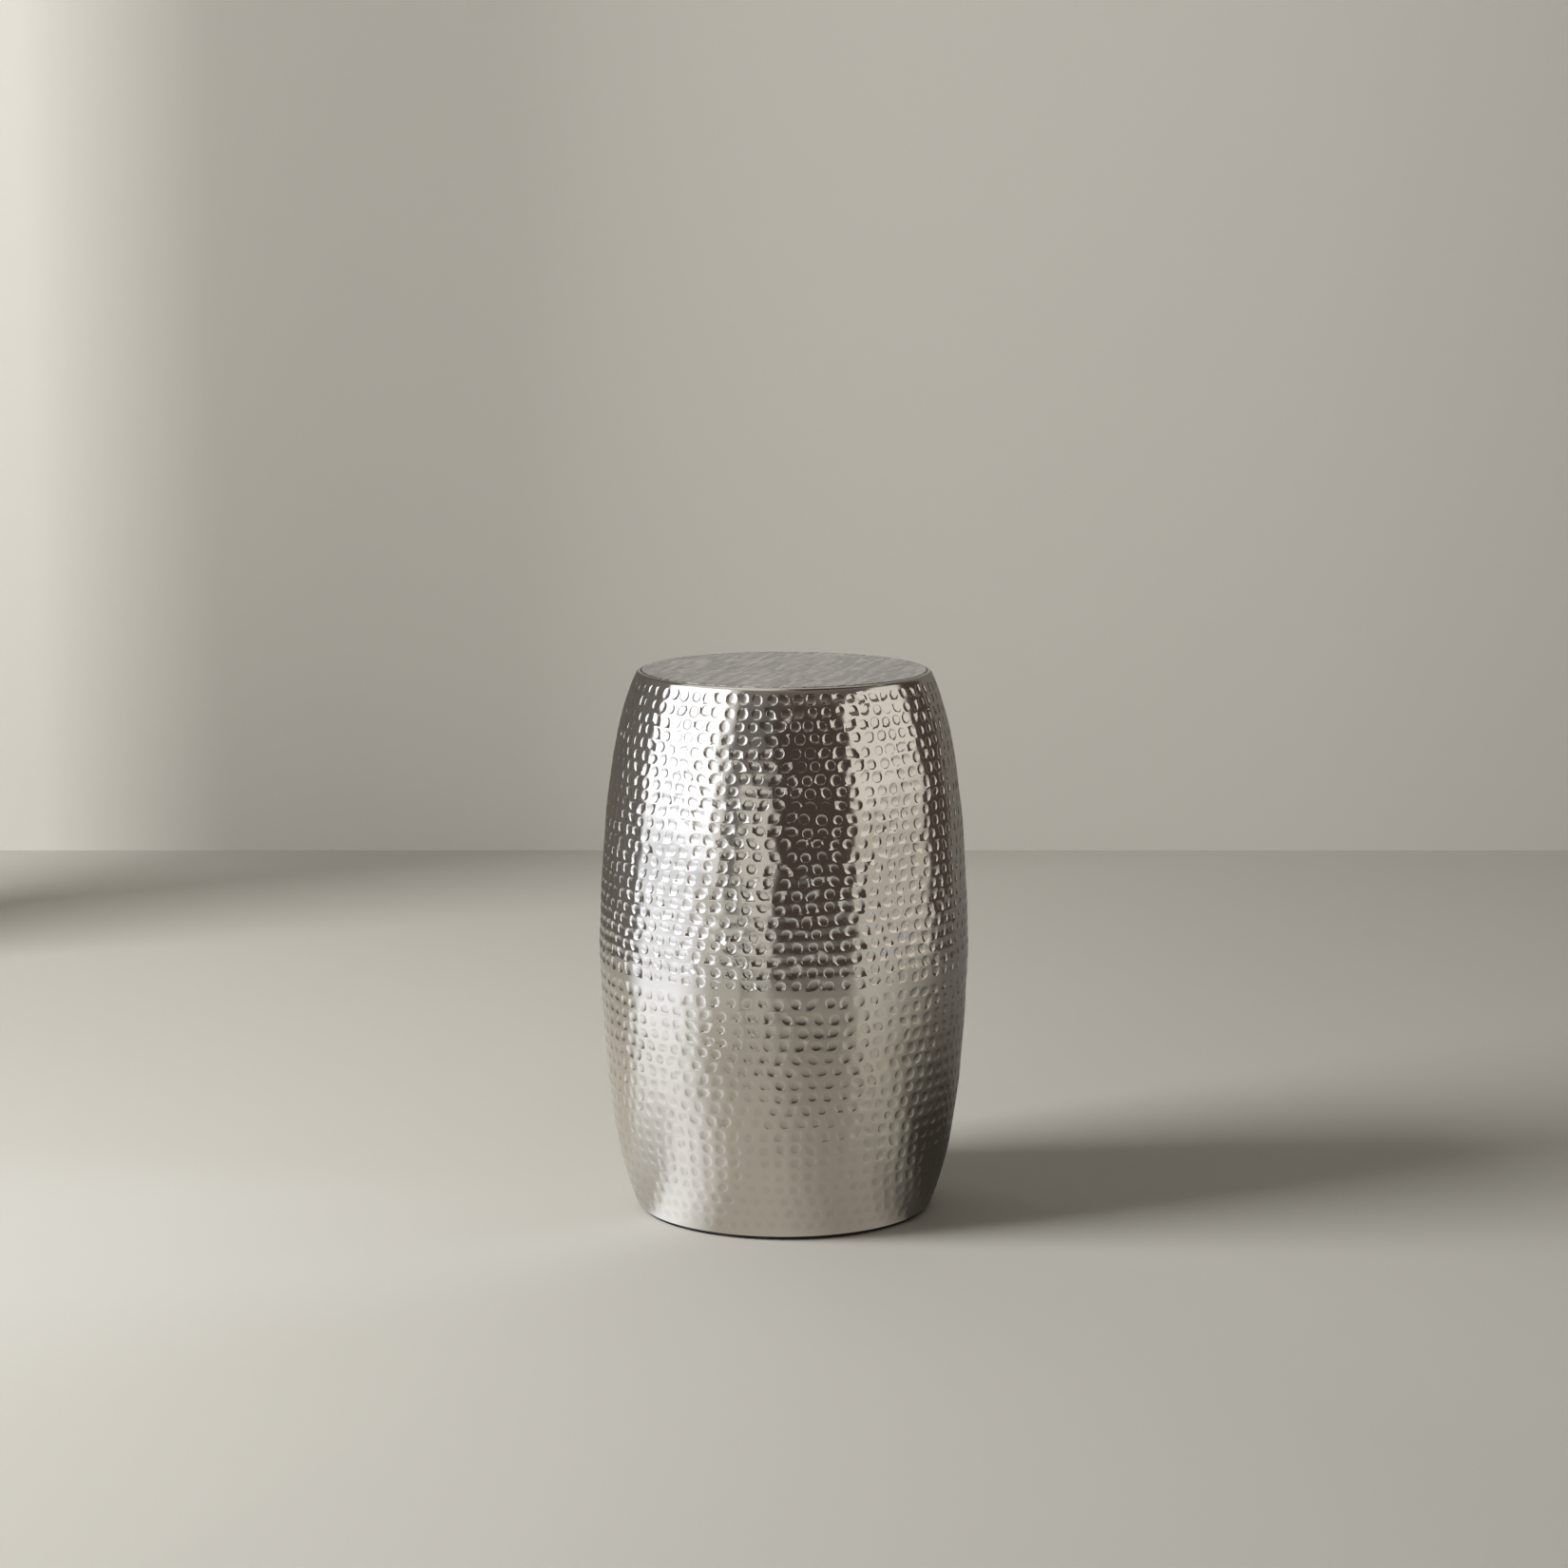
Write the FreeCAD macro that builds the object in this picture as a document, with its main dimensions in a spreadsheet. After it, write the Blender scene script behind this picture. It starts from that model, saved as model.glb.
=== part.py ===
"""Drum side table: a hollow barrel of spun aluminium with a planished metal top.

Two spun half shells telescope just under the belly: the lower one is joggled inwards by
one sheet thickness, its tongue stands inside the mouth of the upper one, and a weld fills
the groove between them. A pressed seat ring is spot-welded under the shoulder and carries
the top, a shallow metal tray round a fibreboard disc that four screws hold from below. A
rubber ring grips the foot flange.

Millimetres. The origin is on the floor, on the drum's axis, and +Z is up.
"""

import FreeCAD, Part
import math
import os
import re

import Sketcher
from FreeCAD import Vector

# ---------------------------------------------------------------- driving dimensions (mm, degrees)
SIZES = {
    # the barrel: its outer wall is the same three tangent arcs above and below the belly
    "overall_height": 460.0,
    "belly_height": 229.0,
    "belly_radius": 156.5,
    "crease_angle": 1.6,
    "belly_arc_radius": 1900.0,
    "flank_slope": 4.55,
    "flank_arc_radius": 723.0,
    "rim_slope": 10.7,
    "rim_arc_radius": 248.0,
    "shell_sheet": 1.5,
    # the lap between the half shells
    "seam_height": 216.0,
    "tongue_top": 228.0,
    "joggle_start": 211.5,
    # the foot
    "foot_height": 3.0,
    "foot_radius": 2.5,
    "foot_flange_radius": 112.0,
    # the top
    "top_radius": 120.4,
    "top_sheet": 1.2,
    "top_edge_radius": 1.6,
    "top_seam_gap": 0.4,
    "top_step": 0.7,
    "board_thickness": 9.0,
    "board_gap": 0.2,
    "board_chamfer": 0.6,
    # the ring that carries the top
    "seat_sheet": 2.0,
    "seat_bend_radius": 3.0,
    "seat_inner_radius": 100.0,
    "seat_skirt_height": 428.0,
    # the pan-head screws and their washers
    "screw_circle_radius": 109.0,
    "screw_radius": 2.0,
    "screw_length": 10.0,
    "screw_point": 2.5,
    "screw_hole_radius": 2.3,
    "pilot_depth": 8.0,
    "head_radius": 4.0,
    "head_height": 2.6,
    "head_bevel": 1.0,
    "recess_width": 1.0,
    "recess_length": 4.4,
    "recess_depth": 1.5,
    "washer_radius": 4.5,
    "washer_bore_radius": 2.15,
    "washer_thickness": 0.8,
    # the rubber ring: a C section gripping the foot flange
    "ring_outer_radius": 122.2,
    "ring_inner_radius": 108.0,
    "ring_lip_radius": 117.0,
    "ring_lip_thickness": 2.0,
    "ring_edge_chamfer": 0.6,
}
SCREW_COUNT = 4

ABOVE = 1
BELOW = -1
START, END, CENTRE = 1, 2, 3  # Sketcher's numbers for an edge's points
ORIGIN_POINT = (-1, START)
SAME_PLACE = 1e-3
AXIS_UP = Vector(0, 0, 1)
AXIS_X = Vector(1, 0, 0)

doc = FreeCAD.newDocument("drum_side_table")


def make_sheet():
    """The spreadsheet that every size is bound to."""
    sheet = doc.addObject("Spreadsheet::Sheet", "sizes")
    for row, (name, value) in enumerate(SIZES.items(), start=1):
        sheet.set(f"A{row}", name.replace("_", " "))
        sheet.set(f"B{row}", str(value))
        sheet.setAlias(f"B{row}", name)
    return sheet


sizes = make_sheet()
doc.recompute()


def size(name):
    """One driving dimension, read back from the sheet."""
    return float(sizes.get(name))


def radians(name):
    """One driving angle, in radians."""
    return math.radians(size(name))


def in_cells(expression):
    """An expression in plain aliases, with each alias pointed at the sheet."""
    return re.sub("[a-z_]+", lambda word: cell(word.group()), expression)


def cell(word):
    """An alias with its sheet's name, or any other word as it is."""
    return f"sizes.{word}" if word in SIZES else word


# ---------------------------------------------------------------- sketch helpers
def polar(centre, radius, angle):
    """The point of a circle at an angle, in radians."""
    return centre + Vector(radius * math.cos(angle), radius * math.sin(angle), 0)


def add_arc(sketch, centre, radius, start, end):
    """Add an arc that runs anticlockwise between two angles, in radians."""
    circle = Part.Circle(centre, AXIS_UP, radius)
    return sketch.addGeometry(Part.ArcOfCircle(circle, start, end), False)


def add_line(sketch, start, end, construction=False):
    """Add a straight edge."""
    return sketch.addGeometry(Part.LineSegment(start, end), construction)


def join(sketch, first, first_end, second, second_end, kind="Tangent"):
    """Join two edges end to end, smoothly unless told otherwise."""
    sketch.addConstraint(Sketcher.Constraint(kind, first, first_end, second, second_end))


def set_size(sketch, expression, kind, *references, value=1.0):
    """Add a dimension and bind it to the sheet. value is a first guess for the solver."""
    index = sketch.addConstraint(Sketcher.Constraint(kind, *references, value))
    sketch.setExpression(f"Constraints[{index}]", in_cells(expression))


def set_height(sketch, expression, edge, end, value):
    """Give a point its height above the floor."""
    set_size(sketch, expression, "DistanceY", *ORIGIN_POINT, edge, end, value=value)


def set_reach(sketch, expression, edge, end, value):
    """Give a point its distance from the axis."""
    set_size(sketch, expression, "DistanceX", *ORIGIN_POINT, edge, end, value=value)


def set_slope(sketch, expression, arc, end, centre, tip, angle):
    """Fix how far the wall leans at one end of an arc, with a construction radius."""
    radius_line = add_line(sketch, centre, tip, construction=True)
    join(sketch, radius_line, START, arc, CENTRE, "Coincident")
    join(sketch, radius_line, END, arc, end, "Coincident")
    set_size(sketch, f"{expression} * 1 deg", "Angle", radius_line, value=angle)


def set_lean(sketch, line, crease):
    """Lean a straight edge out from upright by the crease angle."""
    set_size(sketch, "(90 - crease_angle) * 1 deg", "Angle", line, value=math.pi / 2 - crease)


def upright_sketch(name):
    """A free sketch in the XZ plane: x runs out from the axis and y runs up."""
    sketch = doc.addObject("Sketcher::SketchObject", name)
    sketch.Placement = FreeCAD.Placement(Vector(), FreeCAD.Rotation(AXIS_X, 90))
    return sketch


def spin_sheet(name, line, thickness):
    """Sheet metal of one thickness lying inside a line, turned about the axis."""
    strip = doc.addObject("Part::Offset2D", f"{name}_strip")
    strip.Source = line
    strip.Mode = "Skin"
    strip.Join = "Intersection"
    strip.Fill = True
    strip.setExpression("Value", in_cells(thickness))
    turned = doc.addObject("Part::Revolution", f"{name}_turned")
    turned.Source = strip
    turned.Axis = AXIS_UP
    turned.Angle = 360.0
    turned.Solid = False
    return turned


# ---------------------------------------------------------------- the barrel's wall
def wall_centres(side):
    """Centres of the belly, flank and rim arcs, above or below the belly."""
    crease_tip = Vector(size("belly_radius"), size("belly_height"), 0)
    belly = polar(crease_tip, -size("belly_arc_radius"), side * radians("crease_angle"))
    flank_step = size("belly_arc_radius") - size("flank_arc_radius")
    flank = polar(belly, flank_step, side * radians("flank_slope"))
    rim_step = size("flank_arc_radius") - size("rim_arc_radius")
    rim = polar(flank, rim_step, side * radians("rim_slope"))
    return belly, flank, rim


RIM_CENTRE_REACH = (
    "belly_radius - belly_arc_radius * cos(crease_angle)"
    " + (belly_arc_radius - flank_arc_radius) * cos(flank_slope)"
    " + (flank_arc_radius - rim_arc_radius) * cos(rim_slope)"
)
RIM_CENTRE_HEIGHT = (
    "belly_height - belly_arc_radius * sin(crease_angle)"
    " + (belly_arc_radius - flank_arc_radius) * sin(flank_slope)"
    " + (flank_arc_radius - rim_arc_radius) * sin(rim_slope)"
)
JOGGLE_START_REACH = (
    "belly_radius - belly_arc_radius * cos(crease_angle) + sqrt(belly_arc_radius ^ 2"
    " - (belly_height + belly_arc_radius * sin(crease_angle) - joggle_start) ^ 2)"
)
MOUTH_REACH = "belly_radius - (belly_height - seam_height) * tan(crease_angle)"
TONGUE_REACH = f"{MOUTH_REACH} - shell_sheet * cos(crease_angle)"
TONGUE_FOOT = "seam_height + shell_sheet * sin(crease_angle)"


def mouth_corner():
    """The outer corner of the upper shell's mouth."""
    fall = (size("belly_height") - size("seam_height")) * math.tan(radians("crease_angle"))
    return Vector(size("belly_radius") - fall, size("seam_height"), 0)


def tongue_foot():
    """Where the tongue starts, at the inner corner of the upper shell's mouth."""
    return polar(mouth_corner(), -size("shell_sheet"), -radians("crease_angle"))


def angle_at_height(centre, radius, height):
    """The angle at which a circle's outer side reaches a height."""
    return math.asin((height - centre.y) / radius)


def upper_shell_line():
    """Outer line of the upper shell, from its mouth, over the belly, to the top's edge.

    The shoulder ends a step below the top, so the top stands a little proud of it.
    """
    sketch = upright_sketch("upper_shell_line")
    crease, flank, rim = (
        radians(name) for name in ("crease_angle", "flank_slope", "rim_slope")
    )
    belly_radius = size("belly_arc_radius")
    flank_radius = size("flank_arc_radius")
    rim_radius = size("rim_arc_radius")
    belly_centre, flank_centre, rim_centre = wall_centres(ABOVE)
    top = Vector(
        size("top_radius") + size("top_seam_gap"), size("overall_height") - size("top_step"), 0
    )
    to_top = top - rim_centre
    shoulder_radius = (to_top.Length ** 2 - rim_radius ** 2) / (2 * (to_top.y - rim_radius))
    shoulder_centre = top - Vector(0, shoulder_radius, 0)
    to_shoulder = shoulder_centre - rim_centre
    shoulder_angle = math.atan2(to_shoulder.y, to_shoulder.x)

    crease_tip = Vector(size("belly_radius"), size("belly_height"), 0)
    mouth = add_line(sketch, mouth_corner(), crease_tip)
    belly = add_arc(sketch, belly_centre, belly_radius, crease, flank)
    flank_arc = add_arc(sketch, flank_centre, flank_radius, flank, rim)
    rim_arc = add_arc(sketch, rim_centre, rim_radius, rim, shoulder_angle)
    shoulder = add_arc(
        sketch, shoulder_centre, shoulder_radius, shoulder_angle, math.pi / 2
    )

    join(sketch, mouth, END, belly, START, "Coincident")
    join(sketch, belly, END, flank_arc, START)
    join(sketch, flank_arc, END, rim_arc, START)
    join(sketch, rim_arc, END, shoulder, START)
    sketch.addConstraint(Sketcher.Constraint("Vertical", shoulder, CENTRE, shoulder, END))

    set_reach(sketch, "belly_radius", belly, START, crease_tip.x)
    set_height(sketch, "belly_height", belly, START, crease_tip.y)
    set_height(sketch, "seam_height", mouth, START, size("seam_height"))
    set_lean(sketch, mouth, crease)
    set_reach(sketch, "top_radius + top_seam_gap", shoulder, END, top.x)
    set_height(sketch, "overall_height - top_step", shoulder, END, top.y)
    set_size(sketch, "belly_arc_radius", "Radius", belly, value=belly_radius)
    set_size(sketch, "flank_arc_radius", "Radius", flank_arc, value=flank_radius)
    set_size(sketch, "rim_arc_radius", "Radius", rim_arc, value=rim_radius)
    set_slope(sketch, "crease_angle", belly, START, belly_centre, crease_tip, crease)
    flank_tip = polar(belly_centre, belly_radius, flank)
    set_slope(sketch, "flank_slope", belly, END, belly_centre, flank_tip, flank)
    rim_tip = polar(flank_centre, flank_radius, rim)
    set_slope(sketch, "rim_slope", flank_arc, END, flank_centre, rim_tip, rim)
    return sketch


def lower_shell_line():
    """Outer line of the lower shell, from its foot flange up to the tongue's edge."""
    sketch = upright_sketch("lower_shell_line")
    crease, flank, rim = (
        radians(name) for name in ("crease_angle", "flank_slope", "rim_slope")
    )
    belly_radius = size("belly_arc_radius")
    flank_radius = size("flank_arc_radius")
    rim_radius = size("rim_arc_radius")
    foot_radius = size("foot_radius")
    foot_height = size("foot_height")
    belly_centre, flank_centre, rim_centre = wall_centres(BELOW)
    foot_angle = angle_at_height(
        rim_centre, rim_radius - foot_radius, foot_height + foot_radius
    )
    foot_centre = polar(rim_centre, rim_radius - foot_radius, foot_angle)
    flange_start = Vector(size("foot_flange_radius"), foot_height, 0)
    flange_end = foot_centre - Vector(0, foot_radius, 0)
    wall_end = angle_at_height(belly_centre, belly_radius, size("joggle_start"))
    rise = (size("tongue_top") - tongue_foot().y) / math.cos(crease)
    tongue_tip = polar(tongue_foot(), rise, math.pi / 2 - crease)

    flange = add_line(sketch, flange_start, flange_end)
    foot = add_arc(sketch, foot_centre, foot_radius, -math.pi / 2, foot_angle)
    rim_arc = add_arc(sketch, rim_centre, rim_radius, foot_angle, -rim)
    flank_arc = add_arc(sketch, flank_centre, flank_radius, -rim, -flank)
    belly = add_arc(sketch, belly_centre, belly_radius, -flank, wall_end)
    joggle = add_line(sketch, polar(belly_centre, belly_radius, wall_end), tongue_foot())
    tongue = add_line(sketch, tongue_foot(), tongue_tip)

    join(sketch, flange, END, foot, START)
    join(sketch, foot, END, rim_arc, START)
    join(sketch, rim_arc, END, flank_arc, START)
    join(sketch, flank_arc, END, belly, START)
    join(sketch, belly, END, joggle, START, "Coincident")
    join(sketch, joggle, END, tongue, START, "Coincident")
    sketch.addConstraint(Sketcher.Constraint("Horizontal", flange))

    set_reach(sketch, "foot_flange_radius", flange, START, flange_start.x)
    set_height(sketch, "foot_height", flange, START, foot_height)
    set_height(sketch, "joggle_start", joggle, START, size("joggle_start"))
    set_reach(sketch, TONGUE_REACH, tongue, START, tongue_foot().x)
    set_height(sketch, TONGUE_FOOT, tongue, START, tongue_foot().y)
    set_height(sketch, "tongue_top", tongue, END, size("tongue_top"))
    set_lean(sketch, tongue, crease)
    set_size(sketch, "foot_radius", "Radius", foot, value=foot_radius)
    set_size(sketch, "rim_arc_radius", "Radius", rim_arc, value=rim_radius)
    set_size(sketch, "flank_arc_radius", "Radius", flank_arc, value=flank_radius)
    set_size(sketch, "belly_arc_radius", "Radius", belly, value=belly_radius)

    # the belly arc is hung from the crease, where the upper shell has taken over
    crease_tip = Vector(size("belly_radius"), size("belly_height"), 0)
    to_crease = add_line(sketch, belly_centre, crease_tip, construction=True)
    join(sketch, to_crease, START, belly, CENTRE, "Coincident")
    set_size(sketch, "belly_arc_radius", "Distance", to_crease, value=belly_radius)
    set_size(sketch, "-crease_angle * 1 deg", "Angle", to_crease, value=-crease)
    set_reach(sketch, "belly_radius", to_crease, END, crease_tip.x)
    set_height(sketch, "belly_height", to_crease, END, crease_tip.y)
    flank_tip = polar(belly_centre, belly_radius, -flank)
    set_slope(sketch, "-flank_slope", belly, START, belly_centre, flank_tip, -flank)
    rim_tip = polar(flank_centre, flank_radius, -rim)
    set_slope(sketch, "-rim_slope", flank_arc, START, flank_centre, rim_tip, -rim)
    return sketch


def make_upper_shell():
    """Spun upper half, with the belly crease and the shoulder that rings the top."""
    shell = spin_sheet("upper_shell", upper_shell_line(), "shell_sheet")
    shell.Label = "upper_shell"
    return shell


def make_lower_shell():
    """Spun lower half, with the foot flange turned in and the joggled tongue."""
    shell = spin_sheet("lower_shell", lower_shell_line(), "shell_sheet")
    shell.Label = "lower_shell"
    return shell


# ---------------------------------------------------------------- the seat ring and the top
SEAT_HEIGHT = "overall_height - top_sheet - board_thickness"


def seat_height():
    """Height of the seat that the top stands on."""
    return size("overall_height") - size("top_sheet") - size("board_thickness")


def make_seat_ring():
    """Pressed ring: a skirt that lies on the shell's inner wall and a flat seat."""
    sketch = upright_sketch("seat_ring_line")
    skirt_centre = wall_centres(ABOVE)[2]
    skirt_radius = size("rim_arc_radius") - size("shell_sheet")
    bend_radius = size("seat_bend_radius")
    height = seat_height()
    bottom_angle = angle_at_height(skirt_centre, skirt_radius, size("seat_skirt_height"))
    bend_angle = angle_at_height(
        skirt_centre, skirt_radius - bend_radius, height - bend_radius
    )
    bend_centre = polar(skirt_centre, skirt_radius - bend_radius, bend_angle)

    skirt = add_arc(sketch, skirt_centre, skirt_radius, bottom_angle, bend_angle)
    bend = add_arc(sketch, bend_centre, bend_radius, bend_angle, math.pi / 2)
    seat = add_line(
        sketch, Vector(bend_centre.x, height, 0), Vector(size("seat_inner_radius"), height, 0)
    )
    join(sketch, skirt, END, bend, START)
    join(sketch, bend, END, seat, START)
    sketch.addConstraint(Sketcher.Constraint("Horizontal", seat))
    set_reach(sketch, RIM_CENTRE_REACH, skirt, CENTRE, skirt_centre.x)
    set_height(sketch, RIM_CENTRE_HEIGHT, skirt, CENTRE, skirt_centre.y)
    set_size(sketch, "rim_arc_radius - shell_sheet", "Radius", skirt, value=skirt_radius)
    set_size(sketch, "seat_bend_radius", "Radius", bend, value=bend_radius)
    set_height(sketch, "seat_skirt_height", skirt, START, size("seat_skirt_height"))
    set_reach(sketch, "seat_inner_radius", seat, END, size("seat_inner_radius"))
    set_height(sketch, SEAT_HEIGHT, seat, END, height)

    pressed = spin_sheet("seat_ring", sketch, "seat_sheet")
    holes = doc.addObject("Part::MultiFuse", "seat_ring_holes")
    holes.Shapes = [seat_hole(number) for number in range(SCREW_COUNT)]
    ring = doc.addObject("Part::Cut", "seat_ring")
    ring.Base = pressed
    ring.Tool = holes
    ring.Label = "seat_ring"
    return ring


def seat_hole(number):
    """A drill through the seat for one screw."""
    turn = 360.0 * number / SCREW_COUNT
    drill = doc.addObject("Part::Cylinder", f"seat_hole_{number + 1}")
    drill.setExpression("Radius", in_cells("screw_hole_radius"))
    drill.setExpression("Height", in_cells("3 * seat_sheet"))
    drill.setExpression("Placement.Base.x", in_cells(f"screw_circle_radius * cos({turn} deg)"))
    drill.setExpression("Placement.Base.y", in_cells(f"screw_circle_radius * sin({turn} deg)"))
    drill.setExpression("Placement.Base.z", in_cells(f"{SEAT_HEIGHT} - 2 * seat_sheet"))
    return drill


def make_top_plate():
    """The planished top: a shallow tray whose rim is turned down round the board."""
    sketch = upright_sketch("top_plate_line")
    radius = size("top_radius")
    edge = size("top_edge_radius")
    top = size("overall_height")
    rim = add_line(sketch, Vector(radius, seat_height(), 0), Vector(radius, top - edge, 0))
    bend = add_arc(sketch, Vector(radius - edge, top - edge, 0), edge, 0, math.pi / 2)
    face = add_line(sketch, Vector(radius - edge, top, 0), Vector(0, top, 0))
    join(sketch, rim, END, bend, START)
    join(sketch, bend, END, face, START)
    sketch.addConstraint(Sketcher.Constraint("Vertical", rim))
    sketch.addConstraint(Sketcher.Constraint("Horizontal", face))
    sketch.addConstraint(Sketcher.Constraint("PointOnObject", face, END, -2))
    set_reach(sketch, "top_radius", rim, START, radius)
    set_height(sketch, SEAT_HEIGHT, rim, START, seat_height())
    set_height(sketch, "overall_height", face, END, top)
    set_size(sketch, "top_edge_radius", "Radius", bend, value=edge)
    plate = spin_sheet("top_plate", sketch, "top_sheet")
    plate.Label = "top_plate"
    return plate


# ---------------------------------------------------------------- bodies made on a bench
def new_body(name):
    """A PartDesign body labelled as its node."""
    body = doc.addObject("PartDesign::Body", f"{name}_body")
    body.Label = name
    return body


def origin_feature(body, role):
    """One of the body's own origin planes or axes."""
    return next(item for item in body.Origin.OriginFeatures if item.Role == role)


def plane_sketch(body, name, role, height="", reach=""):
    """A sketch on an origin plane of the body, moved up and out from it if asked."""
    sketch = body.newObject("Sketcher::SketchObject", name)
    sketch.AttachmentSupport = [(origin_feature(body, role), "")]
    sketch.MapMode = "FlatFace"
    if height:
        sketch.setExpression("AttachmentOffset.Base.z", in_cells(height))
    if reach:
        sketch.setExpression("AttachmentOffset.Base.x", in_cells(reach))
    return sketch


def add_outline(sketch, corners):
    """A closed outline of upright and level lines, left for its sizes to be set."""
    edges = []
    for number, corner in enumerate(corners):
        after = corners[(number + 1) % len(corners)]
        edges.append(add_line(sketch, Vector(*corner, 0), Vector(*after, 0)))
    for number, edge in enumerate(edges):
        join(sketch, edge, END, edges[(number + 1) % len(edges)], START, "Coincident")
        start, end = corners[number], corners[(number + 1) % len(corners)]
        if start[1] == end[1]:
            sketch.addConstraint(Sketcher.Constraint("Horizontal", edge))
        elif start[0] == end[0]:
            sketch.addConstraint(Sketcher.Constraint("Vertical", edge))
    return edges


def add_circle(sketch, radius):
    """A circle round the sketch's origin, its radius bound to the sheet."""
    circle = sketch.addGeometry(Part.Circle(Vector(), AXIS_UP, 1.0), False)
    join(sketch, circle, CENTRE, *ORIGIN_POINT, "Coincident")
    set_size(sketch, radius, "Radius", circle)


def turn_about(body, name, sketch, axis):
    """Turn a sketch once round an axis."""
    feature = body.newObject("PartDesign::Revolution", name)
    feature.Profile = sketch
    feature.ReferenceAxis = axis
    feature.Angle = 360.0
    return feature


def repeat_round(body, name, features):
    """Repeat features round the drum's axis, once for each screw."""
    pattern = body.newObject("PartDesign::PolarPattern", name)
    pattern.Originals = features
    pattern.Axis = (origin_feature(body, "Z_Axis"), [""])
    pattern.Angle = 360.0
    pattern.Occurrences = SCREW_COUNT
    body.Tip = pattern
    return pattern


def round_edges(shape):
    """The numbers and edges of a shape's whole circles."""
    return [
        (number, edge)
        for number, edge in enumerate(shape.Edges, start=1)
        if isinstance(edge.Curve, Part.Circle) and edge.isClosed()
    ]


def make_seam_weld():
    """Filler metal in the groove between the joggle and the upper shell's mouth."""
    body = new_body("seam_weld")
    section = plane_sketch(body, "weld_section", "XZ_Plane")
    belly_centre = wall_centres(BELOW)[0]
    belly_radius = size("belly_arc_radius")
    toe_angle = angle_at_height(belly_centre, belly_radius, size("joggle_start"))
    toe = polar(belly_centre, belly_radius, toe_angle)
    corners = [(point.x, point.y) for point in (toe, mouth_corner(), tongue_foot())]
    face, lip, back = add_outline(section, corners)
    set_reach(section, JOGGLE_START_REACH, face, START, toe.x)
    set_height(section, "joggle_start", face, START, toe.y)
    set_reach(section, MOUTH_REACH, lip, START, mouth_corner().x)
    set_height(section, "seam_height", lip, START, mouth_corner().y)
    set_reach(section, TONGUE_REACH, back, START, tongue_foot().x)
    set_height(section, TONGUE_FOOT, back, START, tongue_foot().y)
    turn_about(body, "weld_bead", section, (origin_feature(body, "Z_Axis"), [""]))
    return body


def make_top_board():
    """Fibreboard disc that fills the tray and takes the screws."""
    body = new_body("top_board")
    disc = plane_sketch(body, "board_disc", "XY_Plane", SEAT_HEIGHT)
    add_circle(disc, "top_radius - top_sheet - board_gap")
    board = body.newObject("PartDesign::Pad", "board_blank")
    board.Profile = disc
    board.setExpression("Length", in_cells("board_thickness"))
    doc.recompute()

    top_edge = max(round_edges(board.Shape), key=lambda item: item[1].Curve.Center.z)[0]
    eased = body.newObject("PartDesign::Chamfer", "board_eased_edge")
    eased.Base = (board, [f"Edge{top_edge}"])
    eased.setExpression("Size", in_cells("board_chamfer"))

    pilot_outline = plane_sketch(
        body, "pilot_outline", "XY_Plane", SEAT_HEIGHT, "screw_circle_radius"
    )
    add_circle(pilot_outline, "screw_radius")
    pilot = body.newObject("PartDesign::Pocket", "pilot_hole")
    pilot.Profile = pilot_outline
    pilot.Reversed = True
    pilot.setExpression("Length", in_cells("pilot_depth"))
    repeat_round(body, "pilot_holes", [pilot])
    return body


UNDER_SEAT = f"{SEAT_HEIGHT} - seat_sheet"
UNDER_WASHER = f"{UNDER_SEAT} - washer_thickness"


def make_screw_washers():
    """Plain washers against the underside of the seat."""
    body = new_body("screw_washers")
    body.AllowCompound = True
    outline = plane_sketch(
        body, "washer_outline", "XY_Plane", UNDER_WASHER, "screw_circle_radius"
    )
    add_circle(outline, "washer_radius")
    add_circle(outline, "washer_bore_radius")
    washer = body.newObject("PartDesign::Pad", "washer")
    washer.Profile = outline
    washer.setExpression("Length", in_cells("washer_thickness"))
    repeat_round(body, "washers", [washer])
    return body


def make_top_screws():
    """Pan-head wood screws with a cross recess, driven up into the board."""
    body = new_body("top_screws")
    body.AllowCompound = True
    shank_end = size("screw_length") - size("screw_point")
    profile = plane_sketch(body, "screw_profile", "XZ_Plane", "", "screw_circle_radius")
    profile.setExpression("AttachmentOffset.Base.y", in_cells(UNDER_WASHER))
    bevel = size("head_bevel")
    corners = [
        (0.0, -size("head_height")),
        (size("head_radius") - bevel, -size("head_height")),
        (size("head_radius"), bevel - size("head_height")),
        (size("head_radius"), 0.0),
        (size("screw_radius"), 0.0),
        (size("screw_radius"), shank_end),
        (0.0, size("screw_length")),
    ]
    slot_face, slant, side, bearing, shank, point, middle = add_outline(profile, corners)
    profile.addConstraint(Sketcher.Constraint("PointOnObject", bearing, END, -1))
    profile.addConstraint(Sketcher.Constraint("PointOnObject", middle, END, -2))
    set_height(profile, "-head_height", slot_face, START, -size("head_height"))
    set_reach(profile, "head_radius - head_bevel", slant, START, size("head_radius") - bevel)
    set_height(profile, "head_bevel - head_height", side, START, bevel - size("head_height"))
    set_reach(profile, "head_radius", side, START, size("head_radius"))
    set_reach(profile, "screw_radius", shank, START, size("screw_radius"))
    set_height(profile, "screw_length - screw_point", point, START, shank_end)
    set_height(profile, "screw_length", middle, START, size("screw_length"))
    screw = turn_about(body, "screw", profile, (profile, ["V_Axis"]))

    outline = plane_sketch(
        body, "recess_outline", "XY_Plane", f"{UNDER_WASHER} - head_height",
        "screw_circle_radius",
    )
    add_cross(outline, size("recess_width") / 2, size("recess_length") / 2)
    recess = body.newObject("PartDesign::Pocket", "cross_recess")
    recess.Profile = outline
    recess.Reversed = True
    recess.setExpression("Length", in_cells("recess_depth"))
    repeat_round(body, "screws", [screw, recess])
    return body


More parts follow.
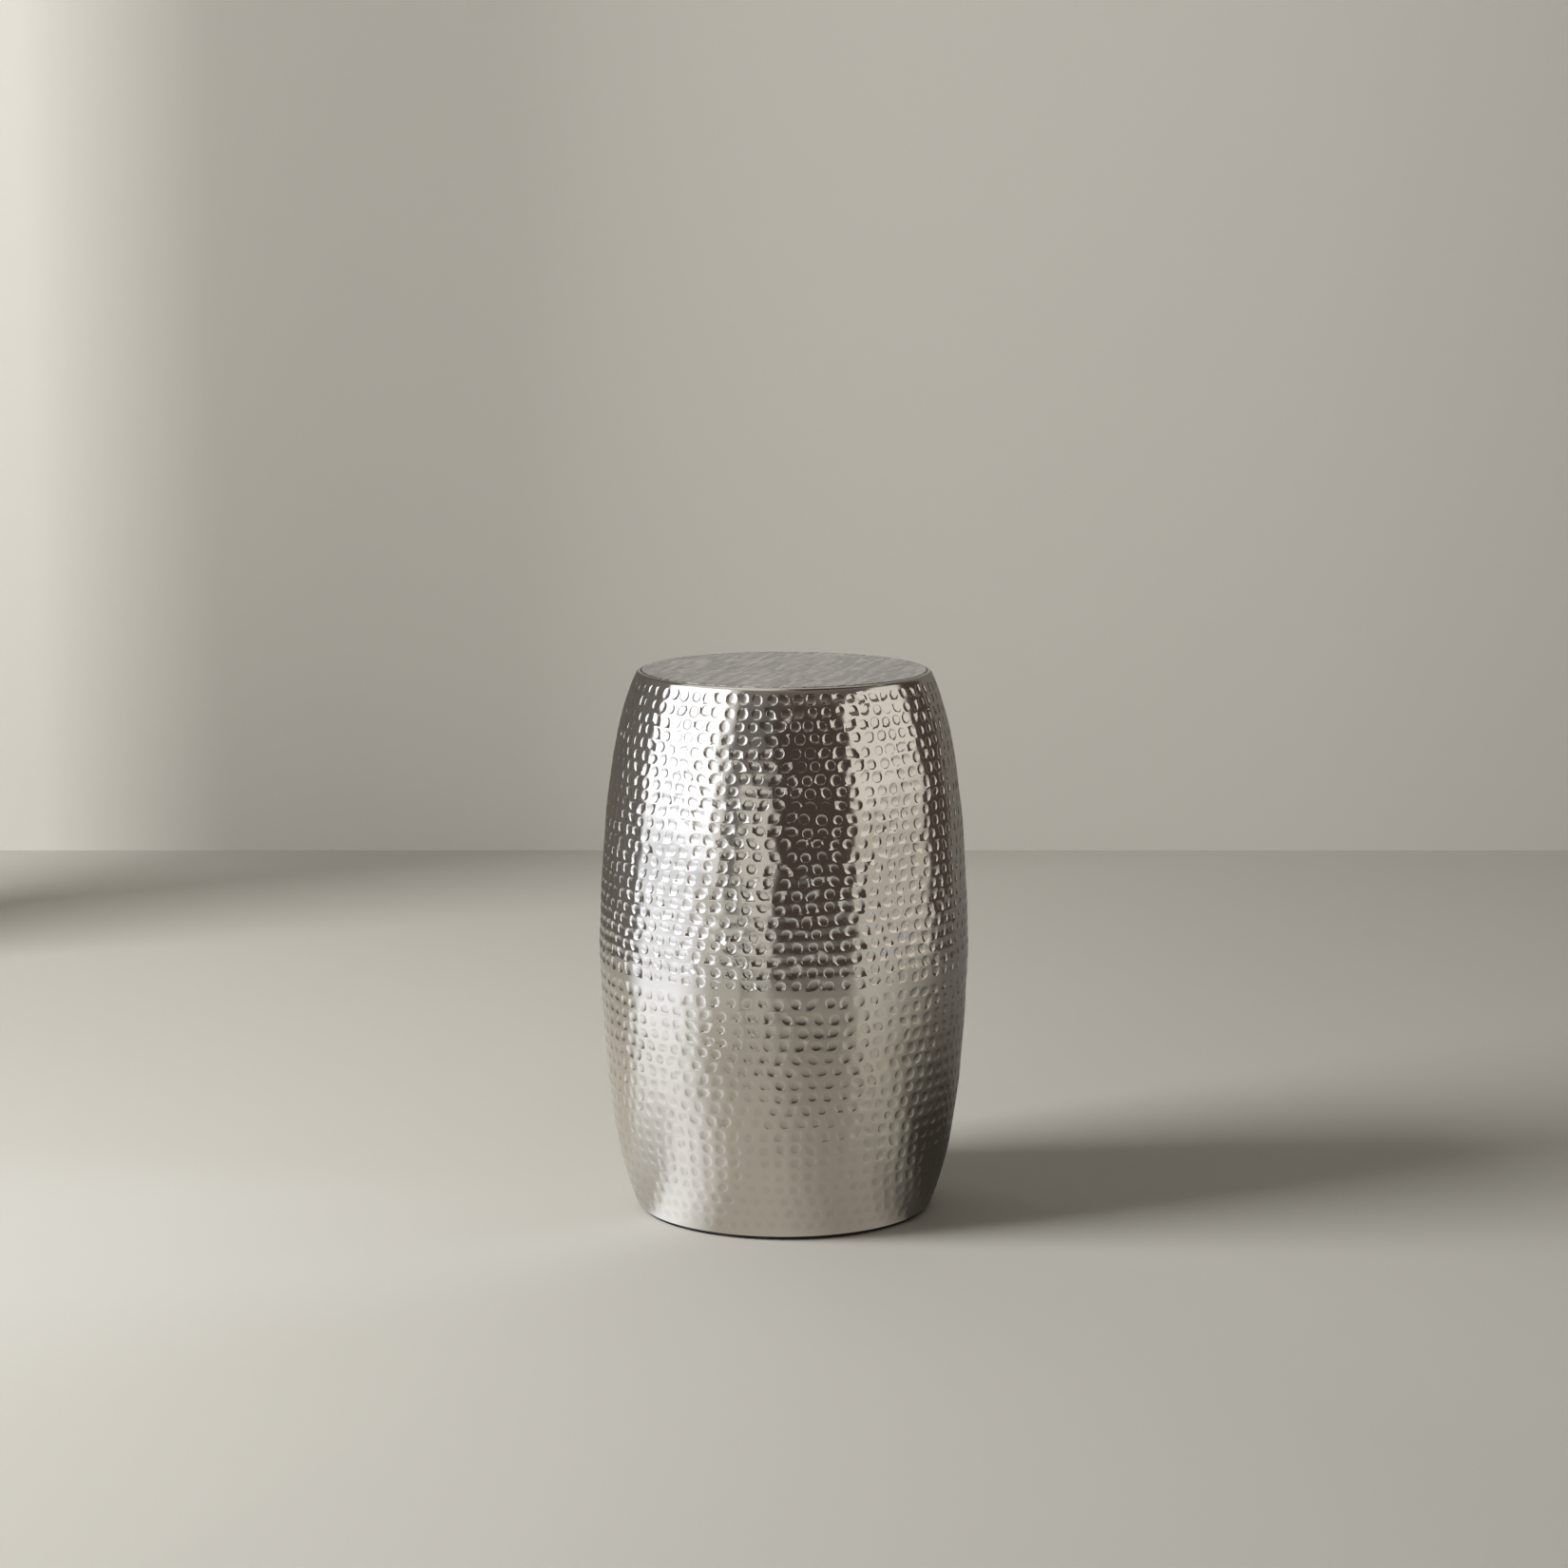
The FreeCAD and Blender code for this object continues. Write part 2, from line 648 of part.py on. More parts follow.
def add_cross(sketch, half_width, half_length):
    """The outline of a plus sign round the sketch's origin."""
    arm = [(half_length, -half_width), (half_length, half_width), (half_width, half_width)]
    corners = []
    for _ in range(4):
        corners += arm
        arm = [(-y, x) for x, y in arm]
    edges = add_outline(sketch, corners)
    ends = edges[0::3]
    flanks = edges[1::3] + edges[2::3]
    for flank in flanks[1:]:
        sketch.addConstraint(Sketcher.Constraint("Equal", flanks[0], flank))
    sketch.addConstraint(Sketcher.Constraint("Equal", ends[0], ends[1]))
    set_size(sketch, "recess_width", "Distance", ends[0], value=2 * half_width)
    set_size(sketch, "(recess_length - recess_width) / 2", "Distance", flanks[0],
             value=half_length - half_width)
    set_reach(sketch, "recess_length / 2", ends[0], START, half_length)
    set_height(sketch, "-recess_width / 2", ends[0], START, -half_width)


def make_floor_ring():
    """Rubber ring with a C section, stretched over the foot flange."""
    body = new_body("floor_ring")
    section = plane_sketch(body, "ring_section", "XZ_Plane")
    inner = size("ring_inner_radius")
    outer = size("ring_outer_radius")
    groove = size("foot_flange_radius")
    lip = size("ring_lip_radius")
    flange_bottom = size("foot_height")
    flange_top = flange_bottom + size("shell_sheet")
    top = flange_top + size("ring_lip_thickness")
    corners = [
        (inner, 0.0), (outer, 0.0), (outer, flange_bottom), (groove, flange_bottom),
        (groove, flange_top), (lip, flange_top), (lip, top), (inner, top),
    ]
    sole, side, ledge, web, roof, lip_side, crown, bore = add_outline(section, corners)
    set_reach(section, "ring_inner_radius", sole, START, inner)
    set_reach(section, "ring_outer_radius", side, START, outer)
    set_reach(section, "foot_flange_radius", web, START, groove)
    set_reach(section, "ring_lip_radius", lip_side, START, lip)
    section.addConstraint(Sketcher.Constraint("PointOnObject", sole, START, -1))
    set_height(section, "foot_height", ledge, START, flange_bottom)
    set_height(section, "foot_height + shell_sheet", roof, START, flange_top)
    set_height(section, "foot_height + shell_sheet + ring_lip_thickness", crown, START, top)
    moulded = turn_about(body, "ring_moulded", section, (origin_feature(body, "Z_Axis"), [""]))
    doc.recompute()

    sole_edges = [
        f"Edge{number}"
        for number, edge in round_edges(moulded.Shape)
        if abs(edge.Curve.Center.z) < SAME_PLACE
    ]
    eased = body.newObject("PartDesign::Chamfer", "ring_eased_edges")
    eased.Base = (moulded, sole_edges)
    eased.setExpression("Size", in_cells("ring_edge_chamfer"))
    return body


# ---------------------------------------------------------------- build, check and export
def check_document():
    """Stop if any object failed to compute."""
    for item in doc.Objects:
        if "Invalid" in item.State or "Error" in item.State:
            raise RuntimeError(f"{item.Name}: {item.State}")
        if item.isDerivedFrom("Sketcher::SketchObject") and item.solve() != 0:
            raise RuntimeError(f"{item.Name}: the sketch doesn't solve")


def main():
    nodes = [
        make_upper_shell(),
        make_lower_shell(),
        make_seam_weld(),
        make_seat_ring(),
        make_top_plate(),
        make_top_board(),
        make_screw_washers(),
        make_top_screws(),
        make_floor_ring(),
    ]
    doc.recompute()
    check_document()
    for node in nodes:
        if node.Shape.isNull() or not node.Shape.isValid():
            raise RuntimeError(f"{node.Label}: the shape isn't valid")
    os.makedirs("parts", exist_ok=True)
    for node in nodes:
        node.Shape.exportStep(os.path.join("parts", f"{node.Label}.step"))
        print(f"{node.Label}: {len(node.Shape.Solids)} solid(s), "
              f"{node.Shape.Volume / 1000.0:.1f} cm3")


main()
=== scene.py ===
"""Drum side table of hammered aluminium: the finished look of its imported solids.

Two spun half shells are struck all over with a ball-peen hammer and polished, the top is
planished and left satin, and a dressed weld runs round the belly. Metres, in the frame of
the solids: +Z is up, and the origin is on the floor, on the drum's axis.
"""

import functools
import math

import bpy
import numpy as np
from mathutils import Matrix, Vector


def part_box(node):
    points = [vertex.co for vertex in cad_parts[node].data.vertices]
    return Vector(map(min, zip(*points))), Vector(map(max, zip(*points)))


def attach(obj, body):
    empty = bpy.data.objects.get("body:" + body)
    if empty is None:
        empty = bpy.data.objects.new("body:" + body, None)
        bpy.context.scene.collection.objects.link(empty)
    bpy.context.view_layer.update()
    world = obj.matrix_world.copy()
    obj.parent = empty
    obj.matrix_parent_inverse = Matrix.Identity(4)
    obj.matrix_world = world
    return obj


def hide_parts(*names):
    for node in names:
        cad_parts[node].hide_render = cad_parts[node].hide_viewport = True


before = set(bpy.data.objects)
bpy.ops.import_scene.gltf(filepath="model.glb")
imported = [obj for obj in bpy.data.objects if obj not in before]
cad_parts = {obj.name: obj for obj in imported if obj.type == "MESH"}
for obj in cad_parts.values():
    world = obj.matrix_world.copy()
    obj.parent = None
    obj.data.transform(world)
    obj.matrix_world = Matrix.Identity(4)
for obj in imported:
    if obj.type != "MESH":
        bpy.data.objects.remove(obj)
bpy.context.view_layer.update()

bl_info = {
    "name": "Hammered Drum Side Table",
    "version": (1, 0, 0),
    "blender": (4, 5, 0),
    "location": "View3D > Sidebar > Drum Table",
    "description": "Builds the hammered shells, planished top and finishes of a drum side table",
    "category": "Add Mesh",
}

MM = 0.001
FULL_TURN = 2 * math.pi
BODY = "root"

UPPER_LOW, UPPER_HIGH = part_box("upper_shell")
LOWER_LOW, LOWER_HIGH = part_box("lower_shell")
WELD_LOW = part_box("seam_weld")[0]
PLATE_LOW, PLATE_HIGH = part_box("top_plate")


def linear(hex_colour):
    """An sRGB hex colour as the linear red, green and blue that shaders take."""
    channels = [int(hex_colour[i:i + 2], 16) / 255 for i in (1, 3, 5)]
    return [c / 12.92 if c <= 0.04045 else ((c + 0.055) / 1.055) ** 2.4 for c in channels]


# -------- sizes and colours
def number(name, description, default, **more):
    """A plain number, whole where its default is."""
    kind = bpy.props.IntProperty if isinstance(default, int) else bpy.props.FloatProperty
    return kind(name=name, description=description, default=default, **more)


def length(name, description, millimetres):
    """A size, given in millimetres and kept in metres."""
    return number(name, description, millimetres * MM, unit="LENGTH", precision=5)


def angle(name, description, degrees):
    """An angle, shown in degrees."""
    return number(name, description, math.radians(degrees), subtype="ANGLE")


def colour(name, description, hex_colour):
    """A colour, given as sRGB hex."""
    return bpy.props.FloatVectorProperty(
        name=name, description=description, default=linear(hex_colour), min=0.0, max=1.0,
        subtype="COLOR")


class DrumWallSizes(bpy.types.PropertyGroup):
    """The wall's outer line: three tangent arcs, the same above and below the belly."""

    belly_height: length("Belly Height", "Height of the widest line", 229)
    belly_arc: length("Belly Arc", "Radius of the arc next to the belly", 1900)
    flank_arc: length("Flank Arc", "Radius of the middle arc", 723)
    rim_arc: length("Rim Arc", "Radius of the arc towards the top and foot", 248)
    crease_lean: angle("Crease Lean", "How far the wall leans in right at the belly", 1.6)
    flank_lean: angle("Flank Lean", "Lean where the flank arc starts", 4.55)
    rim_lean: angle("Rim Lean", "Lean where the rim arc starts", 10.7)
    sheet: length("Sheet", "Thickness of the spun sheet", 1.5)


class DrumMarkSizes(bpy.types.PropertyGroup):
    """The marks that the ball-peen hammer leaves on the shells."""

    columns: number("Columns", "Marks in one row round the drum", 73)
    upper_pitch: length("Upper Pitch", "From row to row on the upper shell", 10.4)
    lower_pitch: length("Lower Pitch", "From row to row on the lower shell", 11.3)
    upper_radius: length("Upper Mark", "Radius of a mark on the upper shell", 4.4)
    lower_radius: length("Lower Mark", "Radius of a mark on the lower shell", 4.3)
    upper_depth: length("Upper Depth", "Depth of a mark on the upper shell", 0.57)
    lower_depth: length("Lower Depth", "Depth of a mark on the lower shell", 0.47)
    lower_ease: number("Lower Ease", "How much shallower marks get towards the foot", 0.15)
    upper_softness: length("Upper Rim", "How far polishing rounds an upper mark's rim", 0.02)
    lower_softness: length("Lower Rim", "How far polishing rounds a lower mark's rim", 0.03)
    upper_bowl: number("Upper Bowl", "Share of an upper mark's depth that is a bowl", 0.55)
    lower_bowl: number("Lower Bowl", "Share of a lower mark's depth that is a bowl", 0.8)
    wall_power: number("Mark Wall", "How close to its rim a mark drops the rest", 8.0)
    groove: length("Row Groove", "How far a whole row sinks next to the belly", 0.26)
    groove_reach: length("Groove Reach", "How far from the belly grooves fade", 100)
    pip: length("Pip", "Height of the pip that a worn hammer leaves", 0.05)
    top_row: length("Top Row", "Height of the highest row", 450)
    bottom_row: length("Bottom Row", "Height of the lowest row", 13.7)
    above_seam: length("Row Above Seam", "Height of the first row above it", 221)
    below_seam: length("Row Below Seam", "Height of the first row below it", 205.5)
    seed: number("Seed", "Seed of the hand's unevenness", 11)


class DrumPlateSizes(bpy.types.PropertyGroup):
    """The planished top."""

    facet: length("Facet", "Width of one planished facet", 4.8)
    facet_arc: length("Facet Arc", "Radius of the planishing hammer's face", 24)
    facet_softness: length("Facet Rim", "How far the facets' ridges are rounded", 0.01)
    edge: length("Edge", "Radius of the turned-down edge", 1.6)
    gap: length("Gap", "Groove between the top and the upper shell", 0.4)
    sheet: length("Sheet", "Thickness of the top's sheet", 1.2)
    seed: number("Seed", "Seed of the hand's unevenness", 5)


class DrumColours(bpy.types.PropertyGroup):
    """Colours of the finishes."""

    polished: colour("Polished Aluminium", "Upper shell, buffed bright", "#DFDCD7")
    # The lower shell's colour, darker than the upper shell's.
    lower_tone: colour("Dulled Aluminium", "Lower shell, less buffed", "#C5BFB5")
    planished: colour("Satin Aluminium", "The planished top", "#DDDBD7")
    mill: colour("Mill Aluminium", "Unpolished inner faces", "#B9B6B0")
    zinc: colour("Zinc", "Hot-dip zinc on the seat ring", "#B4B8BA")
    zinc_plate: colour("Zinc Plate", "Bright zinc on screws and washers", "#C9CCD0")
    fibreboard: colour("Fibreboard", "Pressed wood fibre", "#8A6A49")
    rubber: colour("Rubber", "Black rubber under the foot", "#141312")
    dust: colour("Dust", "Floor dust on the rubber", "#8F8A82")


class DrumStudioSettings(bpy.types.PropertyGroup):
    """Floor, light and camera. What the metal reflects is painted on cards that no camera sees.
    """

    floor: colour("Floor", "Pale trowelled floor", "#CBC8C0")
    wall: colour("Wall", "Pale plaster behind the drum", "#CCC8C0")
    air: colour("Air", "Pale room beyond the wall", "#D2CFC8")
    pale: colour("Pale Panel", "Card: the panel on the right", "#E9E3D9")
    dim: colour("Panel Foot", "Card: the foot of that panel", "#C0BAAE")
    bright: colour("Bright Edge", "Card: beside the key light", "#F2F0EC")
    strip: colour("Pale Strip", "Card: between the key light and the dark card", "#D6D1C9")
    middle: colour("Middle Grey", "Card: overhead", "#C9C5BE")
    gap: colour("Gap", "Card: beside the pale strip", "#726E69")
    dark: colour("Dark Card", "Card: between the lights", "#49403A")
    high: colour("High Card", "Card: above the dark card", "#948D84")
    left_edge: colour("Left Edge Card", "Card: far to the left", "#67615B")
    right_edge: colour("Right Edge Card", "Card: far to the right", "#736E67")
    lit: colour("Lit Floor", "Card: the floor on the left", "#D7D3CA")
    # Painted shade: the floor in front as the metal sees it, darker than the floor.
    under: colour("Floor In Front", "Card: the floor in front", "#A9A49C")
    shade: colour("Floor Shade", "Card: the floor on the right", "#3B3732")
    key: number("Key", "Radiance of the tall light on the left", 14.0)
    key_tint: colour("Key Tint", "Colour of that light in the metal", "#F5F8FF")
    # Brightness of the card painted as the key light's reflection in the metal.
    painted_key_reflection: number("Key Glow", "How bright the metal reflects that light", 1.75)
    # Brightness of the pool of light painted on the floor card under the key light.
    painted_pool_brightness: number("Floor Glow", "The same for the floor under it", 1.55)
    ambient: number("Ambient", "Strength of the surroundings", 0.20)
    camera_height: length("Camera Height", "Height of the lens", 841)
    camera_distance: length("Camera Distance", "From the lens to the drum's axis", 3073)
    camera_pitch: angle("Camera Pitch", "How far the camera looks down", 8.86)
    camera_lens: number("Camera Lens", "Focal length in millimetres", 84.66)


# -------- meshes
class SheetMesh:
    """Points, faces and normals of one piece, gathered ring by ring."""

    def __init__(self, turn=None):
        self.turn = turn
        self.points, self.normals, self.sunk = [], [], []
        self.faces, self.flat, self.slots = [], [], []
        self.count = 0

    def add_points(self, points, normals, sunk=0.0):
        """Add points, with how deep the hammer has sunk them, and return their indices."""
        first = self.count
        self.points.append(points.reshape(-1, 3))
        self.normals.append(normals.reshape(-1, 3))
        self.count += len(self.points[-1])
        self.sunk.append(np.broadcast_to(np.ravel(sunk), self.count - first))
        return np.arange(first, self.count)

    def add_faces(self, corners, flat=False, slot=0):
        """Add faces, one row of corners each. Flat ones don't share their neighbours' normals."""
        rows = corners.reshape(-1, corners.shape[-1])
        self.faces.append(rows)
        self.flat.append(np.full(len(rows), flat))
        self.slots.append(np.full(len(rows), slot))

    def bridge(self, low, high, flat=False, slot=0):
        """Faces between rings with as many points. From outside, high is above low."""
        after = np.roll(low, -1, -1), np.roll(high, -1, -1)
        self.add_faces(np.stack([low, after[0], after[1], high], -1), flat, slot)

    def ring(self, reach, height, lean):
        """One ring of points, with normals that look up by a lean."""
        lean = lean + 0 * self.turn
        return self.add_points(around(self.turn, reach, height),
                               around(self.turn, np.cos(lean), np.sin(lean)))

    def lay(self, start, rings, flat=0, slot=0, down=False):
        """Bridge a ring to a run of rings, each a reach, height and lean; return the last.

        The first few bridges may be flat. A run on an outer side is laid upwards, or down.
        """
        for count, (reach, height, lean) in enumerate(rings):
            ring = self.ring(reach, height, lean)
            low, high = (ring, start) if down else (start, ring)
            self.bridge(low, high, count < flat, slot)
            start = ring
        return start

    def build(self, name):
        """The mesh object, with the gathered normals on its smooth faces."""
        mesh = bpy.data.meshes.new(name)
        faces = [row for block in self.faces for row in block.tolist()]
        mesh.from_pydata(np.concatenate(self.points).tolist(), [], faces)
        mesh.polygons.foreach_set("material_index", np.concatenate(self.slots))
        mesh.shade_smooth()
        corners = [len(face) for face in faces]
        face_normals = np.zeros(len(faces) * 3, np.float32)
        mesh.polygons.foreach_get("normal", face_normals)
        flat = np.repeat(np.concatenate(self.flat), corners)
        normals = np.concatenate(self.normals)[np.concatenate(faces)]
        normals[flat] = np.repeat(face_normals.reshape(-1, 3), corners, axis=0)[flat]
        mesh.normals_split_custom_set(normals.tolist())
        sunk = mesh.attributes.new("sunk", "FLOAT", "POINT")
        sunk.data.foreach_set("value", np.concatenate(self.sunk))
        return new_object(name, mesh)


def new_object(name, data):
    """A new object in the scene."""
    thing = bpy.data.objects.new(name, data)
    bpy.context.scene.collection.objects.link(thing)
    return thing


def around(turn, reach, height):
    """Points at angles round the drum's axis."""
    return np.stack([reach * np.cos(turn), reach * np.sin(turn), height + 0 * turn], -1)


def arc_steps(centre, radius, start, end, steps, turned=0.0):
    """Reach, height and lean at even steps along an arc of a section."""
    lean = np.linspace(start, end, steps)
    return zip(centre[0] + radius * np.cos(lean), centre[1] + radius * np.sin(lean),
               lean + turned)


def shortest(turn):
    """Angles as the shortest way round."""
    return (turn + math.pi) % FULL_TURN - math.pi


def weight(depth, softness):
    """The weight of a mark in a soft blend of marks, in which the deepest counts most."""
    return np.exp(np.clip(depth / softness, -60, 60))


def as_piece(piece, slot, node, *finishes):
    """Make a finished piece ride on the drum, in place of its solid. Its slot is not used."""
    give_finishes(piece, *finishes)
    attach(piece, BODY)
    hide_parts(node)


class Wall:
    """The barrel's outer wall as three arcs each side of the belly."""

    def __init__(self, sizes):
        self.sizes = sizes
        self.arcs, self.starts = [], []
        reach, rise, last = UPPER_HIGH.x, 0.0, 0.0
        for radius, lean in ((sizes.belly_arc, sizes.crease_lean),
                             (sizes.flank_arc, sizes.flank_lean),
                             (sizes.rim_arc, sizes.rim_lean)):
            self.starts.append(rise + last * math.sin(lean))
            reach += (last - radius) * math.cos(lean)
            rise += (last - radius) * math.sin(lean)
            self.arcs.append((reach, rise, radius))
            last = radius

    def at(self, height, inset=0.0, turned=0.0):
        """Reach, height and lean of the wall at heights, moved in by an inset and turned."""
        side = np.where(height < self.sizes.belly_height, -1.0, 1.0)
        rise = np.abs(height - self.sizes.belly_height)
        near = [rise <= start for start in self.starts[1:]]
        centre_reach, centre_rise, radius = (
            np.select(near, values[:-1], values[-1]) for values in zip(*self.arcs))
        lean = np.arcsin((rise - centre_rise) / radius)
        reach = centre_reach + (radius - inset) * np.cos(lean)
        return reach, height - side * inset * np.sin(lean), side * lean + turned

    def centre(self, side):
        """Centre of the rim arc above (1) or below (-1) the belly, as reach and height."""
        reach, rise, _ = self.arcs[-1]
        return reach, self.sizes.belly_height + side * rise


POINTS_PER_MARK = 3  # along each of the four sides of a mark's cell
# each ring's reach, as a share of the mark's radius and at most of the way to the cell's edge
MARK_RINGS = ((1.04, 0.95), (0.96, 0.87), (0.84, 0.75), (0.48, 0.4))
PIP_SPREAD = 0.2  # of the mark's radius
NUDGE = 0.02 * MM  # step for the slope of a struck surface
# the hand's unevenness, as shares: how much a measure spreads, and its least and most
COLUMN_STRAY, ROW_STRAY, STRETCH = 0.055, 0.05, 0.06
RADIUS_SPREAD, RADIUS_LIMITS = 0.055, (0.86, 1.12)
DEPTH_SPREAD, DEPTH_LIMITS = 0.18, (0.5, 1.4)
# a second blow: how often, how often in the lowest row, which is hard to reach, how far from
# the first in radii, and its size as a share of the first
AGAIN, AGAIN_LOWEST, AGAIN_AWAY, AGAIN_SHARE = 0.04, 0.35, 0.75, 0.8
# slow waves: height in mm, count round the drum, and twist from the low row to the high one
STRAY = ((0.9, 2, 9), (0.6, 5, -7), (0.4, 11, 15))  # of the rows, up and down
BULGE = ((0.10, 9, 21), (0.08, 14, -26), (0.05, 23, 40))  # of the wall, in and out
BULGE_INSET = 0.12 * MM  # keeps most of a bulge inside the solid's wall
WAVES_FADE = 15 * MM  # over which the waves die down towards a shell's edge
GROOVE_LEAST = 0.1  # share of a row's groove that is left far above the belly, and below it


class Marks:
    """Rows of hammer marks between two heights, one mark to a cell."""

    def __init__(self, wall, sizes, half, low_row, high_row, ease, seed):
        rng = np.random.default_rng(seed)
        self.wall, self.sizes, self.columns = wall, sizes, sizes.columns
        pitch, radius, depth, self.bowl, self.softness = (
            getattr(sizes, f"{half}_{name}")
            for name in ("pitch", "radius", "depth", "bowl", "softness"))
        self.deepest = depth
        self.rows = round((high_row - low_row) / pitch) + 1
        self.pitch = (high_row - low_row) / (self.rows - 1)
        self.low, self.high = low_row - self.pitch / 2, high_row + self.pitch / 2
        shape = (self.rows, self.columns)
        self.phase = np.cumsum(rng.choice([0, 1, 1, 2], self.rows)) % POINTS_PER_MARK
        centre = np.arange(self.columns) + 0.5 + self.phase[:, None] / POINTS_PER_MARK
        centre = centre + rng.normal(0, COLUMN_STRAY, shape)
        self.turn = centre * FULL_TURN / self.columns
        level = self.low + (np.arange(self.rows)[:, None] + 0.5) * self.pitch
        self.height = level + rng.normal(0, ROW_STRAY, shape) * self.pitch
        self.radius = radius * np.clip(rng.normal(1, RADIUS_SPREAD, shape), *RADIUS_LIMITS)
        self.depth = depth * np.clip(rng.normal(1, DEPTH_SPREAD, shape), *DEPTH_LIMITS)
        self.depth *= np.linspace(1 - ease, 1, self.rows)[:, None]
        stretch, heading = rng.normal(0, STRETCH, shape), rng.uniform(0, math.pi, shape)
        self.wide = 1 + stretch * np.cos(2 * heading)
        self.tall = 1 - stretch * np.cos(2 * heading)
        self.skew = stretch * np.sin(2 * heading)
        self.reach = wall.at(level[:, 0])[0]
        blow = rng.uniform(0, FULL_TURN, shape)
        self.again = rng.uniform(0, 1, shape) < AGAIN
        self.again[0] |= rng.uniform(0, 1, self.columns) < AGAIN_LOWEST
        away, margin = AGAIN_AWAY * radius, 0.9 * radius
        self.again_turn = self.turn + away * np.cos(blow) / self.reach[:, None]
        self.again_height = np.clip(self.height + away * np.sin(blow),
                                    self.low + margin, self.high - margin)
        self.waves = rng.uniform(0, FULL_TURN, len(STRAY + BULGE))

    def strike(self, turn, height, row):
        """How deep the hammer has sunk the wall at points, each in or on the edge of a row."""
        level = (height - self.low) / self.pitch
        total = np.ones_like(turn)
        for row_step in (-1, 0, 1):
            there = row + row_step
            real = (there >= 0) & (there < self.rows)
            there = np.clip(there, 0, self.rows - 1)
            place = turn * self.columns / FULL_TURN - self.phase[there] / POINTS_PER_MARK
            for column_step in (-1, 0, 1):
                cell = there, (np.floor(place).astype(int) + column_step) % self.columns
                total += real * self.blow(turn, height, cell, self.turn, self.height, 1.0)
                total += real * self.again[cell] * self.blow(
                    turn, height, cell, self.again_turn, self.again_height, AGAIN_SHARE)
        inside = np.clip(np.minimum(level, self.rows - level), 0, 1)
        above = height - self.wall.sizes.belly_height
        near = np.clip(1 - np.abs(above) / self.sizes.groove_reach, GROOVE_LEAST, 1)
        groove = self.sizes.groove * np.where(above < 0, GROOVE_LEAST, near)
        groove = groove * (0.5 - 0.5 * np.cos(FULL_TURN * level)) * np.sqrt(inside)
        return self.softness * np.log(total) + groove

    def blow(self, turn, height, cell, turns, heights, share):
        """The weight of one blow in the blend of the marks around a point."""
        across = shortest(turn - turns[cell]) * self.reach[cell[0]]
        up = height - heights[cell]
        away = np.hypot(across * self.wide[cell] + up * self.skew[cell],
                        up * self.tall[cell] + across * self.skew[cell])
        away = away / (self.radius[cell] * share)
        bowl = self.bowl * away ** 2 + (1 - self.bowl) * away ** self.sizes.wall_power
        depth = self.depth[cell] * share * (1 - bowl)
        depth = depth - self.sizes.pip * np.exp(-0.5 * (away / PIP_SPREAD) ** 2)
        return weight(depth, self.softness)

    def wander(self, turn, height):
        """How far a row strays up or down, and how far the wall bulges, at points."""
        inside = (height - self.low) / (self.high - self.low)
        from_edge = np.minimum(height - self.low, self.high - height)
        hold = np.sin(math.pi / 2 * np.clip(from_edge / WAVES_FADE, 0, 1)) ** 2
        waves = [size * MM * np.sin(count * turn + phase + twist * inside)
                 for (size, count, twist), phase in zip(STRAY + BULGE, self.waves)]
        bulge = sum(waves[len(STRAY):]) - BULGE_INSET
        return hold * sum(waves[:len(STRAY)]), hold * bulge

    def surface(self, turn, height, row):
        """Points of the struck wall."""
        stray, bulge = self.wander(turn, height)
        sunk = self.strike(turn, height, row) - bulge
        reach, _, lean = self.wall.at(height + stray)
        return around(turn, reach - sunk * np.cos(lean), height + stray - sunk * np.sin(lean))

    def add_points(self, mesh, turn, height, row):
        """Add points of the struck wall, with their normals and how sunk they are."""
        turn, height, row = np.broadcast_arrays(turn, height, row)
        points = self.surface(turn, height, row)
        along = self.surface(turn + NUDGE / self.reach[row], height, row) - points
        up = self.surface(turn, height + NUDGE, row) - points
        normals = np.cross(along, up)
        normals = normals / np.linalg.norm(normals, axis=-1, keepdims=True)
        sunk = self.strike(turn, height, row) / self.deepest
        return mesh.add_points(points, normals, np.clip(sunk, 0, 1)).reshape(turn.shape)

    def add_to(self, mesh):
        """Add the struck wall, and return its lowest and highest rings."""
        around_count = POINTS_PER_MARK * self.columns
        edges = [self.add_points(mesh, mesh.turn, self.low + row * self.pitch,
                                 min(row, self.rows - 1)) for row in range(self.rows + 1)]
        corners = np.arange(self.columns) * POINTS_PER_MARK
        steps = np.arange(POINTS_PER_MARK)
        for row, (low, high) in enumerate(zip(edges, edges[1:])):
            left = (corners + self.phase[row]) % around_count
            right = np.roll(left, -1)
            side = self.add_points(
                mesh, mesh.turn[left][:, None],
                self.low + (row + steps[1:] / POINTS_PER_MARK) * self.pitch, row)
            outline = np.concatenate([
                low[(left[:, None] + steps) % around_count],
                low[right][:, None], np.roll(side, -1, axis=0),
                high[(right[:, None] - steps) % around_count],
                high[left][:, None], side[:, ::-1],
            ], axis=1)
            self.fill_cells(mesh, outline, row, left)
        return edges[0], edges[-1]

    def fill_cells(self, mesh, outline, row, left):
        """Fill one row's cells with rings that close in on each mark's centre."""
        step = FULL_TURN / (self.columns * POINTS_PER_MARK)
        share = np.arange(POINTS_PER_MARK) / POINTS_PER_MARK
        across = np.concatenate([share, share * 0 + 1, 1 - share, share * 0])
        up = np.concatenate([share * 0, share, share * 0 + 1, 1 - share])
        turn = (self.turn[row] % FULL_TURN)[:, None]
        height = self.height[row][:, None]
        edge_turn = (left * step)[:, None] + across * POINTS_PER_MARK * step
        offset = shortest(edge_turn - turn) * self.reach[row]
        rise = self.low + (row + up) * self.pitch - height
        away = np.hypot(offset, rise)
        for share_of_mark, share_of_way in MARK_RINGS:
            out = np.minimum(share_of_mark * self.radius[row][:, None], share_of_way * away)
            ring = self.add_points(mesh, turn + offset * out / away / self.reach[row],
                                   height + rise * out / away, row)
            mesh.bridge(outline, ring)
            outline = ring
        hub = np.broadcast_to(self.add_points(mesh, turn, height, row), outline.shape)
        mesh.add_faces(np.stack([outline, np.roll(outline, -1, 1), hub], -1))


